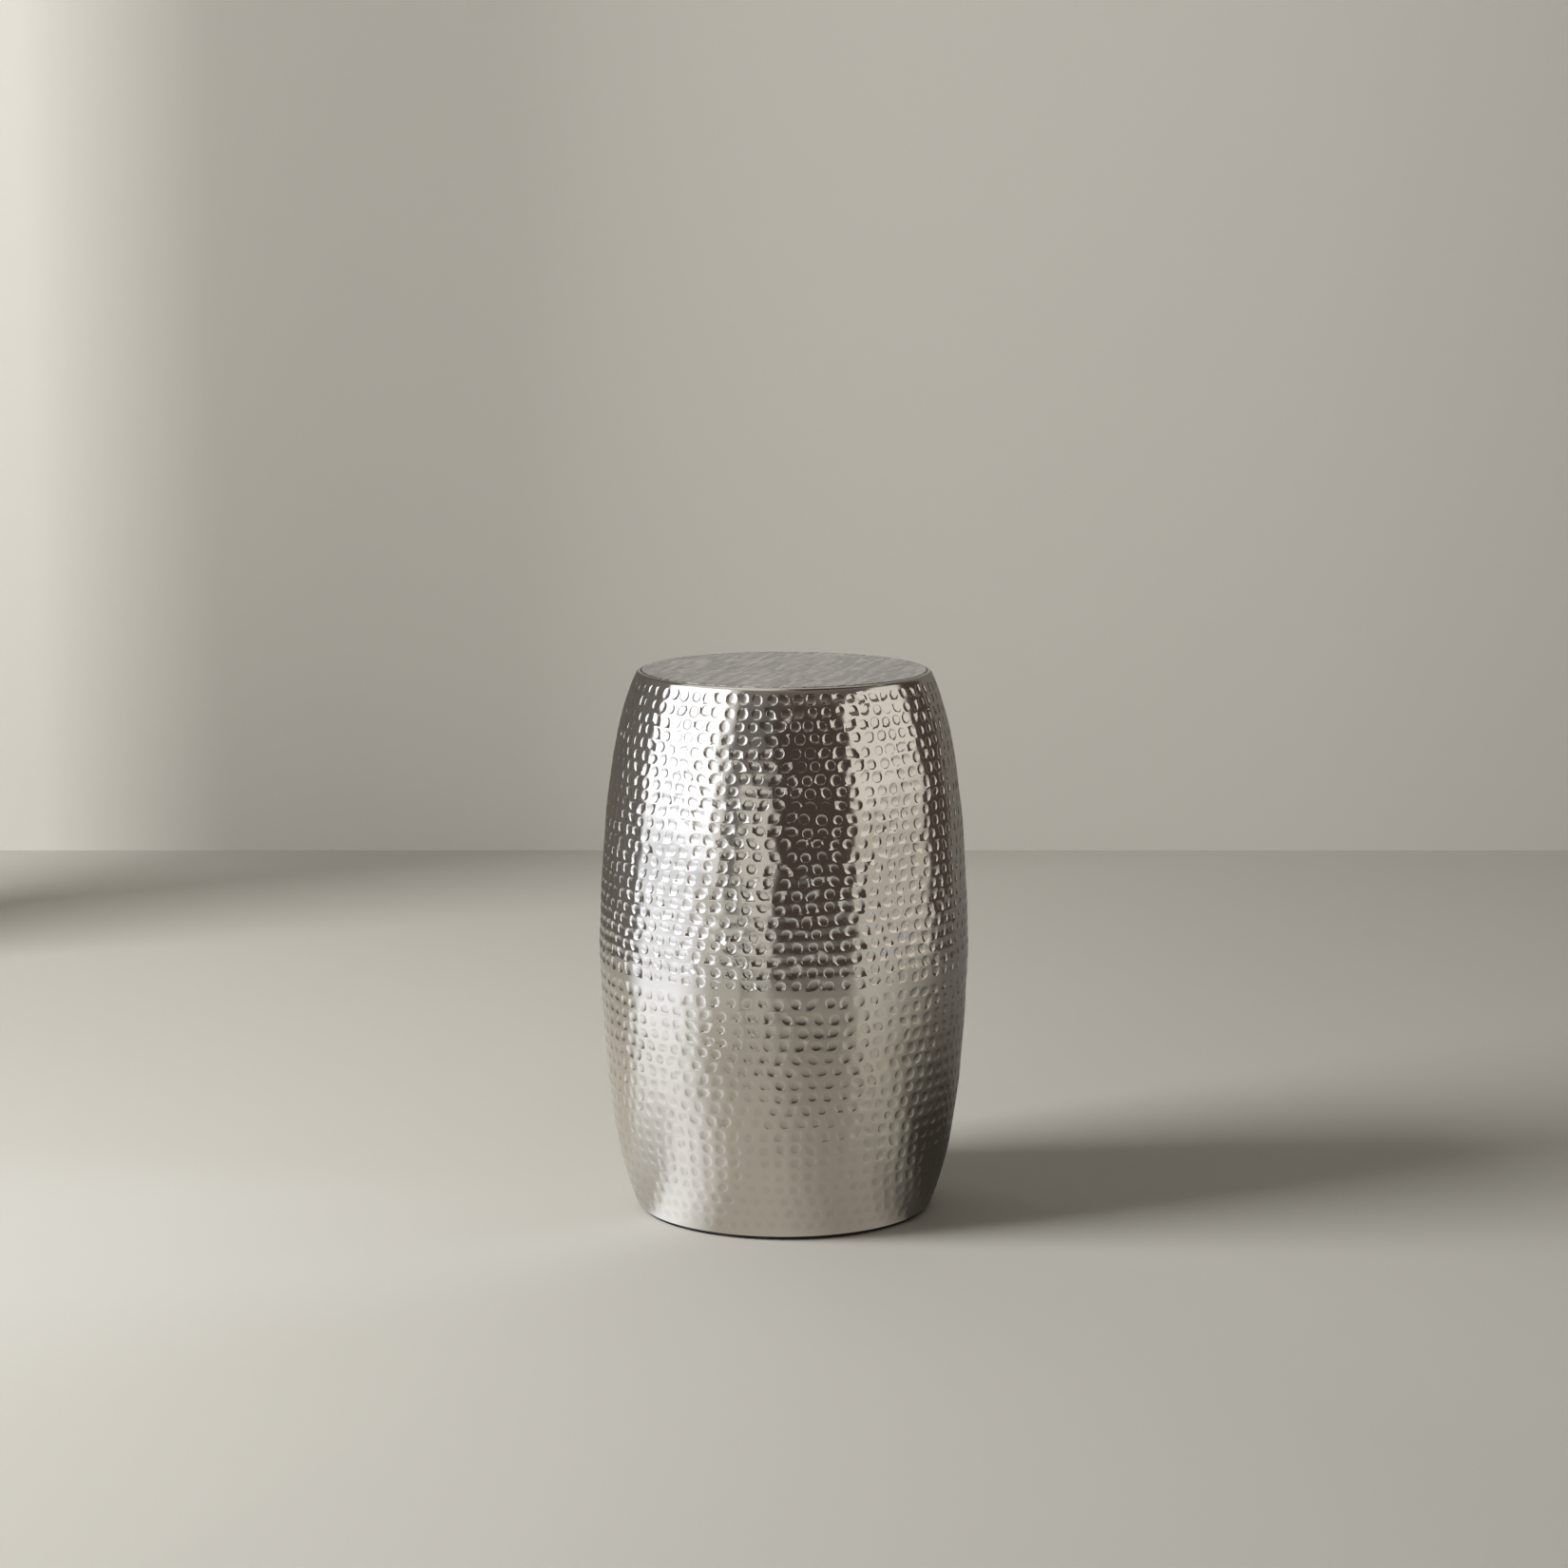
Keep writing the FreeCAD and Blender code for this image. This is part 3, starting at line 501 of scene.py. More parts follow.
FOOT_BEND = 2.5 * MM  # outer radius of the bend into the foot's flange
FLANGE_REACH = 112 * MM  # from the axis to the flange's inner edge
INNER_RINGS = 18  # down the inside of a shell
INWARDS = math.pi  # turns an outward lean to the sheet's other face


def start_shell(scene):
    """A shell's wall, its mesh with the angles of every ring, and its sheet."""
    count = scene.drum_marks.columns * POINTS_PER_MARK
    turn = np.arange(count) * FULL_TURN / count
    return Wall(scene.drum_wall), SheetMesh(turn), scene.drum_wall.sheet


def build_upper_shell(scene):
    """The upper half: dressed mouth, hammered wall, rounded shoulder and bare inside."""
    sizes = scene.drum_marks
    wall, mesh, sheet = start_shell(scene)
    marks = Marks(wall, sizes, "upper", sizes.above_seam, sizes.top_row, 0.0, sizes.seed)

    mouth = mesh.ring(*wall.at(UPPER_LOW.z))
    low, high = marks.add_to(mesh)
    if marks.low > UPPER_LOW.z:
        mesh.bridge(mouth, low)

    rim_reach, rim_height = wall.centre(1)
    rim_arc = scene.drum_wall.rim_arc
    edge_reach = PLATE_HIGH.x + scene.drum_plate.gap
    across, rise = edge_reach - rim_reach, UPPER_HIGH.z - rim_height
    bend = (across ** 2 + rise ** 2 - rim_arc ** 2) / (2 * (rise - rim_arc))
    centre = (edge_reach, UPPER_HIGH.z - bend)
    start = math.atan2(centre[1] - rim_height, centre[0] - rim_reach)
    shoulder = rim_height + rim_arc * math.sin(start)
    outer = mesh.lay(high, map(wall.at, np.linspace(marks.high, shoulder, 4)[1:-1]))
    outer = mesh.lay(outer, arc_steps(centre, bend, start, math.pi / 2, 9))
    heights = np.linspace(shoulder, UPPER_LOW.z, INNER_RINGS)[1:]
    inside = [*arc_steps(centre, bend - sheet, math.pi / 2, start, 5, INWARDS),
              *(wall.at(z, sheet, INWARDS) for z in heights)]
    mesh.bridge(mesh.lay(outer, inside, flat=1, slot=1), mouth, flat=True, slot=1)
    as_piece(mesh.build("upper_shell_hammered"), "hammered_aluminium", "upper_shell",
             aluminium_hammered_buffed, aluminium_as_spun)


def build_lower_shell(scene):
    """The lower half: foot flange, hammered wall, joggled tongue and bare inside."""
    sizes = scene.drum_marks
    wall, mesh, sheet = start_shell(scene)
    marks = Marks(wall, sizes, "lower", sizes.bottom_row, sizes.below_seam, sizes.lower_ease,
                  sizes.seed + 1)
    rim_reach, rim_height = wall.centre(-1)
    floor_gap, reach = LOWER_LOW.z, scene.drum_wall.rim_arc - FOOT_BEND
    start = math.asin((floor_gap + FOOT_BEND - rim_height) / reach)
    centre = (rim_reach + reach * math.cos(start), floor_gap + FOOT_BEND)
    foot_top = centre[1] + FOOT_BEND * math.sin(start)

    flange = mesh.ring(FLANGE_REACH, floor_gap, -math.pi / 2)
    outer = mesh.lay(flange, arc_steps(centre, FOOT_BEND, -math.pi / 2, start, 8))
    low, high = marks.add_to(mesh)
    if marks.low > foot_top + 0.5 * MM:
        outer = mesh.lay(outer, [wall.at((foot_top + marks.low) / 2)])
    mesh.bridge(outer, low)

    joggle = mesh.ring(*wall.at(WELD_LOW.z))
    if WELD_LOW.z > marks.high:
        mesh.bridge(high, joggle)
    lean = scene.drum_wall.crease_lean
    tongue = [(*wall.at(z, inset)[:2], facing) for z, inset, facing in (
        (UPPER_LOW.z, sheet, -lean), (LOWER_HIGH.z, sheet, -lean),
        (LOWER_HIGH.z, 2 * sheet, math.pi - lean), (UPPER_LOW.z, 2 * sheet, math.pi - lean))]
    heights = np.linspace(WELD_LOW.z, foot_top, INNER_RINGS)
    inside = [*tongue, *(wall.at(z, sheet, INWARDS) for z in heights),
              *arc_steps(centre, FOOT_BEND - sheet, start, -math.pi / 2, 4, INWARDS),
              (FLANGE_REACH, floor_gap + sheet, math.pi / 2)]
    inner = mesh.lay(joggle, inside, flat=len(tongue) + 1, slot=1)
    mesh.bridge(inner, flange, flat=True, slot=1)
    as_piece(mesh.build("lower_shell_hammered"), "hammered_aluminium", "lower_shell",
             aluminium_hammered_buffed, aluminium_as_spun)


DRESSING = 0.04 * MM  # how unevenly the weld is ground
DRESSING_WAVES = 37, 11  # their counts round the drum
WELD_INSET = 0.03 * MM  # keeps nearly all of the ground bead inside the wall


def build_seam_weld(scene):
    """The bead in the groove under the upper shell's mouth, ground and polished flush."""
    wall, mesh, sheet = start_shell(scene)
    toe = mesh.ring(*wall.at(WELD_LOW.z))
    reach, height, lean = wall.at((WELD_LOW.z + UPPER_LOW.z) / 2)
    many, few = DRESSING_WAVES
    uneven = DRESSING * np.sin(many * mesh.turn) * np.sin(few * mesh.turn + 1)
    lip = mesh.lay(toe, [(reach + uneven - WELD_INSET, height, lean), wall.at(UPPER_LOW.z)])
    root = mesh.lay(lip, [(*wall.at(UPPER_LOW.z, sheet)[:2], math.pi)], flat=1)
    mesh.bridge(root, toe, flat=True)
    as_piece(mesh.build("seam_weld_dressed"), "hammered_aluminium", "seam_weld",
             aluminium_hammered_buffed)


PLATE_SQUARES = 240  # across the top, which makes cells of about a millimetre
FACET_STRAY, FACET_RING_STRAY = 0.28, 0.22  # along a ring and across it, in facets
FACET_DEPTH_SPREAD = 0.035 * MM
FACET_LEVEL = 0.16 * MM  # from the deepest facets to the level of the ridges
FACET_SHARE = 0.5  # of that relief, left after rubbing
RIDGE_INSET = 0.02 * MM  # keeps the ridges inside the solid's top
FACET_FADE = 3 * MM  # over which the facets die down towards the edge


class Facets:
    """Facets of the planishing hammer, in rings round the centre of the top."""

    def __init__(self, sizes):
        rng = np.random.default_rng(sizes.seed)
        self.sizes = sizes
        rings = int(PLATE_HIGH.x / sizes.facet) + 2
        self.counts = np.maximum(1, np.round(FULL_TURN * np.arange(rings)).astype(int))
        widest = self.counts[-1]
        shape = (rings, widest)
        turn = (np.arange(widest)[None, :] + rng.normal(0, FACET_STRAY, shape)
                + rng.uniform(0, 1, (rings, 1)))
        self.turn = turn * FULL_TURN / self.counts[:, None]
        reach = np.arange(rings)[:, None] + rng.normal(0, FACET_RING_STRAY, shape)
        self.reach = reach * sizes.facet
        self.depth = np.abs(rng.normal(0, FACET_DEPTH_SPREAD, shape))

    def sunk(self, x, y):
        """How deep the planishing hammer has sunk the top at points."""
        reach, turn = np.hypot(x, y), np.arctan2(y, x)
        softness = self.sizes.facet_softness
        nearest = np.round(reach / self.sizes.facet).astype(int)
        total = np.zeros_like(x)
        for ring_step in (-1, 0, 1):
            ring = np.clip(nearest + ring_step, 0, len(self.counts) - 1)
            count = self.counts[ring]
            place = (turn - self.turn[ring, 0]) % FULL_TURN * count / FULL_TURN
            for step in (-1, 0, 1, 2):
                facet = ring, (np.floor(place).astype(int) + step) % count
                centre = self.reach[facet], self.turn[facet]
                away = ((x - centre[0] * np.cos(centre[1])) ** 2
                        + (y - centre[0] * np.sin(centre[1])) ** 2)
                bowl = away / (2 * self.sizes.facet_arc)
                total += weight(self.depth[facet] - bowl, softness)
        depth = softness * np.log(total + 1e-30)
        fade = np.clip((PLATE_HIGH.x - reach) / FACET_FADE, 0, 1)
        return np.maximum(fade * (FACET_LEVEL - depth), -RIDGE_INSET)


def disc_grid(count, radius):
    """A square grid of points bent into a disc."""
    line = np.linspace(-1, 1, count + 1)
    across, up = np.meshgrid(line, line, indexing="ij")
    wide = np.abs(across) > np.abs(up)
    longest, other = np.where(wide, across, up), np.where(wide, up, across)
    slant = other / np.where(longest == 0, 1, longest) * math.pi / 4
    ahead, aside = longest * np.cos(slant) * radius, longest * np.sin(slant) * radius
    return np.where(wide, ahead, aside), np.where(wide, aside, ahead)


def build_top_plate(scene):
    """The top: planished face, turned-down edge and plain underside."""
    sizes = scene.drum_plate
    facets = Facets(sizes)
    mesh = SheetMesh()
    radius, edge = PLATE_HIGH.x, sizes.edge
    top, foot = PLATE_HIGH.z, PLATE_LOW.z
    inside, ceiling = radius - sizes.sheet, top - sizes.sheet
    x, y = disc_grid(PLATE_SQUARES, radius - edge)

    def face(x, y):
        return np.stack([x, y, top - RIDGE_INSET - facets.sunk(x, y) * FACET_SHARE], -1)

    points = face(x, y)
    normals = np.cross(face(x + NUDGE, y) - points, face(x, y + NUDGE) - points)
    normals /= np.linalg.norm(normals, axis=-1, keepdims=True)
    grid = mesh.add_points(points, normals).reshape(x.shape)
    mesh.add_faces(np.stack([grid[:-1, :-1], grid[1:, :-1], grid[1:, 1:], grid[:-1, 1:]], -1))

    border = np.concatenate([grid[:-1, 0], grid[-1, :-1], grid[:0:-1, -1], grid[0, :0:-1]])
    mesh.turn = np.arctan2(y, x).ravel()[border]
    rim = [(reach, height - RIDGE_INSET * math.sin(lean), lean) for reach, height, lean
           in arc_steps((radius - edge, top - edge), edge, math.pi / 2, 0, 6)]
    low = mesh.lay(border, [*rim, (radius, foot, 0.0)], down=True)
    under = [(inside, foot, math.pi), (inside, ceiling, math.pi)]
    roof = mesh.lay(low, under, flat=1, down=True)
    centre = mesh.add_points(np.array([0, 0, ceiling]), np.array([0, 0, -1.0]))
    hub = np.full(len(roof), centre[0])
    mesh.add_faces(np.stack([np.roll(roof, -1), roof, hub], -1), flat=True)
    as_piece(mesh.build("top_plate_planished"), "planished_aluminium", "top_plate",
             aluminium_planished_satin)


# -------- materials
def add_node(tree, kind, inputs=None, out=0, **settings):
    """Add one node with its settings and links, and return one of its outputs.

    Its inputs are values or the outputs that feed them, by name, by place, or all in order.
    """
    node = tree.nodes.new(f"ShaderNode{kind}")
    for name, value in settings.items():
        setattr(node, name, value)
    named = inputs if isinstance(inputs, dict) else dict(enumerate(inputs or ()))
    for name, value in named.items():
        socket = node.inputs[name]
        if isinstance(value, bpy.types.NodeSocket):
            tree.links.new(value, socket)
        else:
            socket.default_value = (*value, 1.0) if socket.type == "RGBA" else value
    return node.outputs[out] if node.outputs else None


def make_material(finish, *details, name=None):
    """A material named for its finish, made once from the nodes that the finish adds."""
    name = name or finish.__name__
    material = bpy.data.materials.get(name)
    if material is None:
        material = bpy.data.materials.new(name)
        material.use_nodes = True
        material.node_tree.nodes.clear()
        add = functools.partial(add_node, material.node_tree)
        add("OutputMaterial", [finish(add, *details)])
    return material


def scaled(tone, share):
    """A colour made darker or brighter by a share."""
    return [share * c for c in tone]


# A pattern's scale is one over the real size of what repeats, in metres. A MapRange node
# takes a value, the two ends of its range, and what those two ends become.
def aluminium_hammered_buffed(add, colours):
    """Spun aluminium, ball-peened, then buffed: a soft mirror with a faint grain.

    The wheel passes over the floors of the marks, which stay duller and a little darker.
    The upper shell is buffed smoother than the lower one, and its colour is lighter.
    """
    place = add("TexCoord", out="Object")
    height = add("SeparateXYZ", {"Vector": place}, "Z")
    cloud = add("TexNoise", {"Vector": place, "Scale": 1 / (45 * MM), "Detail": 3.0})
    grain = add("TexNoise", {"Vector": place, "Scale": 1 / (1.1 * MM), "Detail": 2.0})
    ripple = add("TexNoise", {"Vector": place, "Scale": 1 / (13 * MM), "Detail": 1.0})
    buffing = add("MapRange", [height, 0.05, 0.20, 0.235, 0.10])
    uneven = add("MapRange", [cloud, 0.3, 0.7, -0.015, 0.03])
    sunk = add("Attribute", out="Fac", attribute_name="sunk")
    unreached = add("MapRange", [height, 0.18, 0.28, 1.0, 0.45])
    sunk = add("Math", [sunk, unreached], operation="MULTIPLY")
    missed = add("MapRange", [sunk, 0.2, 1.0, 0.0, 0.05])
    roughness = add("Math", [add("Math", [buffing, uneven]), missed])
    patina = add("MapRange", [sunk, 0.2, 1.0, 1.0, 0.91])
    # The colour is lighter above the belly and darker below it.
    bright = add("MapRange", [height, 0.16, 0.26])
    base = add("Mix", {0: bright, 6: colours.lower_tone, 7: colours.polished}, 2,
               data_type="RGBA")
    tint = add("MapRange", [cloud, 0.3, 0.7, 1.0, 0.93])
    worn = add("Math", [tint, patina], operation="MULTIPLY")
    tone = add("VectorMath", {0: base, "Scale": worn}, operation="SCALE")
    fine = add("Bump", {"Height": grain, "Strength": 0.12, "Distance": 0.02 * MM})
    bump = add("Bump", {
        "Height": ripple, "Strength": 1.0, "Distance": 0.05 * MM, "Normal": fine})
    return add("BsdfPrincipled", {
        "Base Color": tone, "Metallic": 1.0, "Roughness": roughness, "Normal": bump})


def aluminium_as_spun(add, colours):
    """The sheet's inside, as spun: dull, with level tool lines and the marks' backs."""
    place = add("TexCoord", out="Object")
    level = add("Mapping", {"Vector": place, "Scale": (6.0, 6.0, 1 / (1.5 * MM))})
    lines = add("TexNoise", {"Vector": level, "Scale": 1.0, "Detail": 2.0})
    backs = add("TexVoronoi", {"Vector": place, "Scale": 1 / (11 * MM)}, feature="SMOOTH_F1")
    tooled = add("Bump", {"Height": lines, "Strength": 0.3, "Distance": 0.05 * MM})
    bump = add("Bump", {
        "Height": backs, "Strength": 0.6, "Distance": 0.5 * MM, "Normal": tooled}, invert=True)
    roughness = add("MapRange", [lines, 0.0, 1.0, 0.36, 0.52])
    return add("BsdfPrincipled", {
        "Base Color": colours.mill, "Metallic": 1.0, "Roughness": roughness, "Normal": bump})


def aluminium_planished_satin(add, colours):
    """The top, planished all over, then rubbed one way: satin, with long leaning strokes.

    The strokes are 6 mm wide and 45 mm long, and the hammer's blows show through as clouds
    of thin oxide.
    """
    place = add("TexCoord", out="Object")
    along = add("Mapping", {
        "Vector": place, "Rotation": (0.0, 0.0, math.radians(-17)),
        "Scale": (6 * MM, 45 * MM, 3 * MM)}, vector_type="TEXTURE")
    strokes = add("TexNoise", {
        "Vector": along, "Scale": 1.0, "Detail": 2.0, "Roughness": 0.5, "Distortion": 0.8})
    blows = add("TexNoise", {
        "Vector": place, "Scale": 1 / (9 * MM), "Detail": 2.0, "Roughness": 0.6})
    roughness = add("MapRange", [strokes, 0.3, 0.7, 0.24, 0.38])
    rubbed = add("MapRange", [strokes, 0.38, 0.62, 0.6, 1.15])
    oxide = add("MapRange", [blows, 0.38, 0.62, 0.82, 1.08])
    wear = add("Math", [rubbed, oxide], operation="MULTIPLY")
    tone = add("VectorMath", {0: colours.planished, "Scale": wear}, operation="SCALE")
    bump = add("Bump", {"Height": strokes, "Strength": 0.6, "Distance": 0.1 * MM})
    return add("BsdfPrincipled", {
        "Base Color": tone, "Metallic": 1.0, "Roughness": roughness, "Normal": bump})


def steel_galvanised(add, colours):
    """Hot-dip galvanised steel: dull grey zinc with crystals a centimetre across."""
    place = add("TexCoord", out="Object")
    crystal = add("TexVoronoi", {"Vector": place, "Scale": 1 / (9 * MM), "Randomness": 1.0},
                  "Color")
    shade = add("SeparateColor", {"Color": crystal})
    tone = add("Mix", {0: shade, 6: colours.zinc, 7: scaled(colours.zinc, 0.72)}, 2,
               data_type="RGBA")
    roughness = add("MapRange", [shade, 0.0, 1.0, 0.34, 0.55])
    return add("BsdfPrincipled", {"Base Color": tone, "Metallic": 1.0, "Roughness": roughness})


def steel_zinc_plated(add, colours):
    """Bright zinc plate on cold-headed steel: clean, with small dulled spots."""
    place = add("TexCoord", out="Object")
    dulling = add("TexNoise", {"Vector": place, "Scale": 1 / (1.5 * MM), "Detail": 3.0})
    roughness = add("MapRange", [dulling, 0.0, 1.0, 0.2, 0.42])
    return add("BsdfPrincipled", {
        "Base Color": colours.zinc_plate, "Metallic": 1.0, "Roughness": roughness})


def fibreboard_raw(add, colours):
    """Medium-density fibreboard, raw: matt brown felt of fibres a millimetre or two long."""
    place = add("TexCoord", out="Object")
    fibre = add("TexNoise", {
        "Vector": place, "Scale": 1 / (1.6 * MM), "Detail": 5.0, "Roughness": 0.7,
        "Distortion": 1.5})
    contrast = add("MapRange", [fibre, 0.35, 0.65])
    tone = add("Mix", {0: contrast, 6: scaled(colours.fibreboard, 0.62),
                       7: colours.fibreboard}, 2, data_type="RGBA")
    bump = add("Bump", {"Height": fibre, "Strength": 0.4, "Distance": 0.1 * MM})
    return add("BsdfPrincipled", {
        "Base Color": tone, "Roughness": 0.85, "IOR": 1.5, "Normal": bump})


def rubber_black_moulded(add, colours):
    """Moulded black rubber: matt, with a fine mould grain and a dusting of floor."""
    place = add("TexCoord", out="Object")
    grain = add("TexNoise", {"Vector": place, "Scale": 1 / (0.8 * MM), "Detail": 3.0})
    dust = add("TexNoise", {"Vector": place, "Scale": 1 / (14 * MM), "Detail": 4.0})
    dusted = add("MapRange", [dust, 0.45, 0.75, 0.0, 0.12])
    tone = add("Mix", {0: dusted, 6: colours.rubber, 7: colours.dust}, 2, data_type="RGBA")
    bump = add("Bump", {"Height": grain, "Strength": 0.3, "Distance": 0.05 * MM})
    return add("BsdfPrincipled", {
        "Base Color": tone, "Roughness": 0.72, "IOR": 1.52, "Normal": bump})


def plaster(add, tone):
    """Smooth plaster, quite matt."""
    return add("BsdfPrincipled", {"Base Color": tone, "Roughness": 0.8, "IOR": 1.45})


def card_glow(add):
    """An even glow for the cards that the metal reflects, in the colour of their points."""
    shade = add("Attribute", attribute_name="shade")
    return add("Emission", {"Color": shade, "Strength": 1.0})


def give_finishes(thing, *finishes):
    """Add finishes to a piece or a solid, in the order of its faces' slots."""
    for finish in finishes:
        thing.data.materials.append(make_material(finish, bpy.context.scene.drum_colours))


def finish_node(name, finish):
    """Give a solid that stays as it is its finish."""
    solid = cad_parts[name]
    solid.data.materials.clear()
    give_finishes(solid, finish)


# -------- stage
ROOM_REACH = 14.0  # the floor, from the drum's axis, in metres as all below
WALL_AT, WALL_REACH, WALL_TALL = 1.75, 4.5, 5.0
FAR, NEAR, BEHIND = 3.3, 2.4, 1.7  # the upright cards' distances from the axis
SKIRT = 0.1235  # inner edge of the floor cards, just outside the rubber ring
ON_FLOOR, OVERHEAD = 0.001, 4.2  # the level cards' heights
CARD_STEP = 2  # degrees between a card's points


def add_stage_mesh(name, points, faces, material):
    """A part of the stage."""
    mesh = bpy.data.meshes.new(name)
    mesh.from_pydata(points, [], faces)
    mesh.materials.append(material)
    thing = new_object(name, mesh)
    return thing


def add_plane(name, corner, side, rise, material):
    """A flat part of the stage, from a corner along its two sides."""
    corner, side, rise = map(np.array, (corner, side, rise))
    points = [corner, corner + side, corner + side + rise, corner + rise]
    return add_stage_mesh(name, points, [(0, 1, 2, 3)], material)


def add_card(name, first, last, rows, distance=None, height=None):
    """A curved card round the drum, between two bearings, that is seen only in reflections.

    Its rows are stops by height on an upright card, which has a distance, and by distance
    on a level one. Stops are colours by their bearing in degrees, 0 towards the camera.
    """
    bearings = np.linspace(first, last, max(2, int((last - first) / CARD_STEP) + 1))
    count, turn = len(bearings), np.radians(bearings)
    points, shades = [], []
    for place, stops in rows.items():
        points += [((distance or place) * x, -(distance or place) * y, height or place)
                   for x, y in zip(np.sin(turn), np.cos(turn))]
        shades.append(np.stack([np.interp(bearings, list(stops), channel)
                                for channel in zip(*stops.values())] + [np.ones(count)], -1))
    faces = [(start + i, start + i + 1, start + count + i + 1, start + count + i)
             for start in range(0, count * (len(rows) - 1), count)
             for i in range(count - 1)]
    card = add_stage_mesh(name, points, faces, make_material(card_glow))
    shade = card.data.attributes.new("shade", "FLOAT_COLOR", "POINT")
    shade.data.foreach_set("color", np.concatenate(shades).ravel())
    card.visible_camera = card.visible_diffuse = card.visible_shadow = False


def add_cards(studio):
    """The cards: painted reflections of what the polished metal sees, all round, above and on the
    floor.
    """
    dark, middle, bright, strip = studio.dark, studio.middle, studio.bright, studio.strip
    gap, high, pale, dim = studio.gap, studio.high, studio.pale, studio.dim
    lit, under, shade = studio.lit, studio.under, studio.shade
    left_edge, right_edge = studio.left_edge, studio.right_edge
    floor, back = scaled(studio.floor, 0.95), scaled(middle, 0.8)
    key = scaled(studio.key_tint, studio.painted_key_reflection)
    # Painted light pool on the floor, as the metal sees it, and a dimmer one farther out.
    painted_light_pool = scaled(studio.key_tint, studio.painted_pool_brightness)
    foot, far_painted_light_pool = scaled(key, 0.55), scaled(painted_light_pool, 0.75)

    low = {-40: bright, -36: gap, -30: gap, -26: strip, -9: strip, -5: dark}
    tall, over = {-40: bright, -34: gap, -16: gap, -5: dark}, {0: high}
    add_card("card_front", -46, 101,
             {0.005: low, 0.80: low, 0.95: tall, 2.2: tall, OVERHEAD: over}, FAR)
    stops = {-174: back, -164: left_edge, -135: left_edge, -118: gap}
    add_card("card_back_left", -180, -99, {ON_FLOOR: stops, 2.2: stops}, BEHIND)
    stops = {123: dark, 131: right_edge, 164: right_edge, 174: back}
    add_card("card_back_right", 101, 180, {ON_FLOOR: stops, 2.2: stops}, BEHIND)
    panel, panel_foot = {44: pale}, {44: dim}
    add_card("panel_right", 44, 100,
             {ON_FLOOR: panel_foot, 0.3: panel_foot, 0.6: panel, 1.8: panel}, NEAR)
    # A painted reflection of the key light, which the metal does not see itself; dimmer at its
    # foot.
    lamp, lamp_foot = {-104: key}, {-60: foot, -45: dim}
    add_card("painted_key_reflection", -104, -45,
             {0.02: lamp_foot, 0.15: lamp_foot, 0.45: lamp, 2.6: lamp}, NEAR)
    # Painted light on the floor on the left: the lit floor and the key light's pool, with painted
    # shade farther back on the left.
    add_card("floor_left_painted_light_and_shade", -180, -25, {
        SKIRT: {-180: back, -160: lit, -104: lit, -92: floor, -70: floor, -58: painted_light_pool,
                -48: painted_light_pool, -28: floor},
        0.55: {-180: back, -160: lit, -108: lit, -92: painted_light_pool, -64: painted_light_pool, -42: floor},
        1.6: {-180: back, -163: left_edge, -118: left_edge, -104: gap, -92: far_painted_light_pool,
              -66: far_painted_light_pool, -45: floor},
        NEAR: {-180: back, -163: left_edge, -118: left_edge, -104: gap, -94: far_painted_light_pool,
               -60: far_painted_light_pool, -44: floor}}, height=ON_FLOOR)
    # Painted shade on the floor in front of the drum.
    add_card("floor_front_painted_shade", -25, 55, {
        SKIRT: {0: floor, 20: under, 40: under, 55: gap},
        0.5: {-8: floor, 8: under, 34: under, 46: floor},
        1.2: {-25: gap, -12: floor, -6: gap, 36: gap, 46: floor},
        FAR: {-9: strip, -5: dark, 42: dark, 46: dim}}, height=ON_FLOOR)
    # Painted shadow: the drum's shadow on the floor on the right, as the metal sees it.
    add_card("floor_right_painted_shadow", 55, 180, {
        SKIRT: {55: gap, 58: shade, 145: shade, 180: back},
        0.3: {55: floor, 77: shade, 118: shade, 150: gap, 180: back},
        0.75: {55: floor, 100: gap, 150: gap, 180: back},
        NEAR: {98: dim, 112: dark, 155: right_edge, 180: back}}, height=ON_FLOOR)
    stops = {-180: middle, -120: bright, -20: middle, 20: dark, 120: dark, 180: middle}
    add_card("card_above", -180, 180, {FAR: stops, 0.05: stops}, height=OVERHEAD)


def add_surroundings(scene, studio):
    """A pale room where it is seen or reflected, and a little even light from it."""
    scene.world = bpy.data.worlds.new("surroundings")
    scene.world.use_nodes = True
    scene.world.node_tree.nodes.clear()
    add = functools.partial(add_node, scene.world.node_tree)
    rays = add("LightPath").node.outputs
    seen = add("Math", [rays["Is Camera Ray"], rays["Is Glossy Ray"]], operation="MAXIMUM")
    seen = add("Math", [seen, rays["Is Transmission Ray"]], operation="MAXIMUM")
    room = add("Background", [studio.air, 1.0])
    ambient = add("Background", [studio.air, studio.ambient])
    add("OutputWorld", [add("MixShader", [seen, ambient, room])])


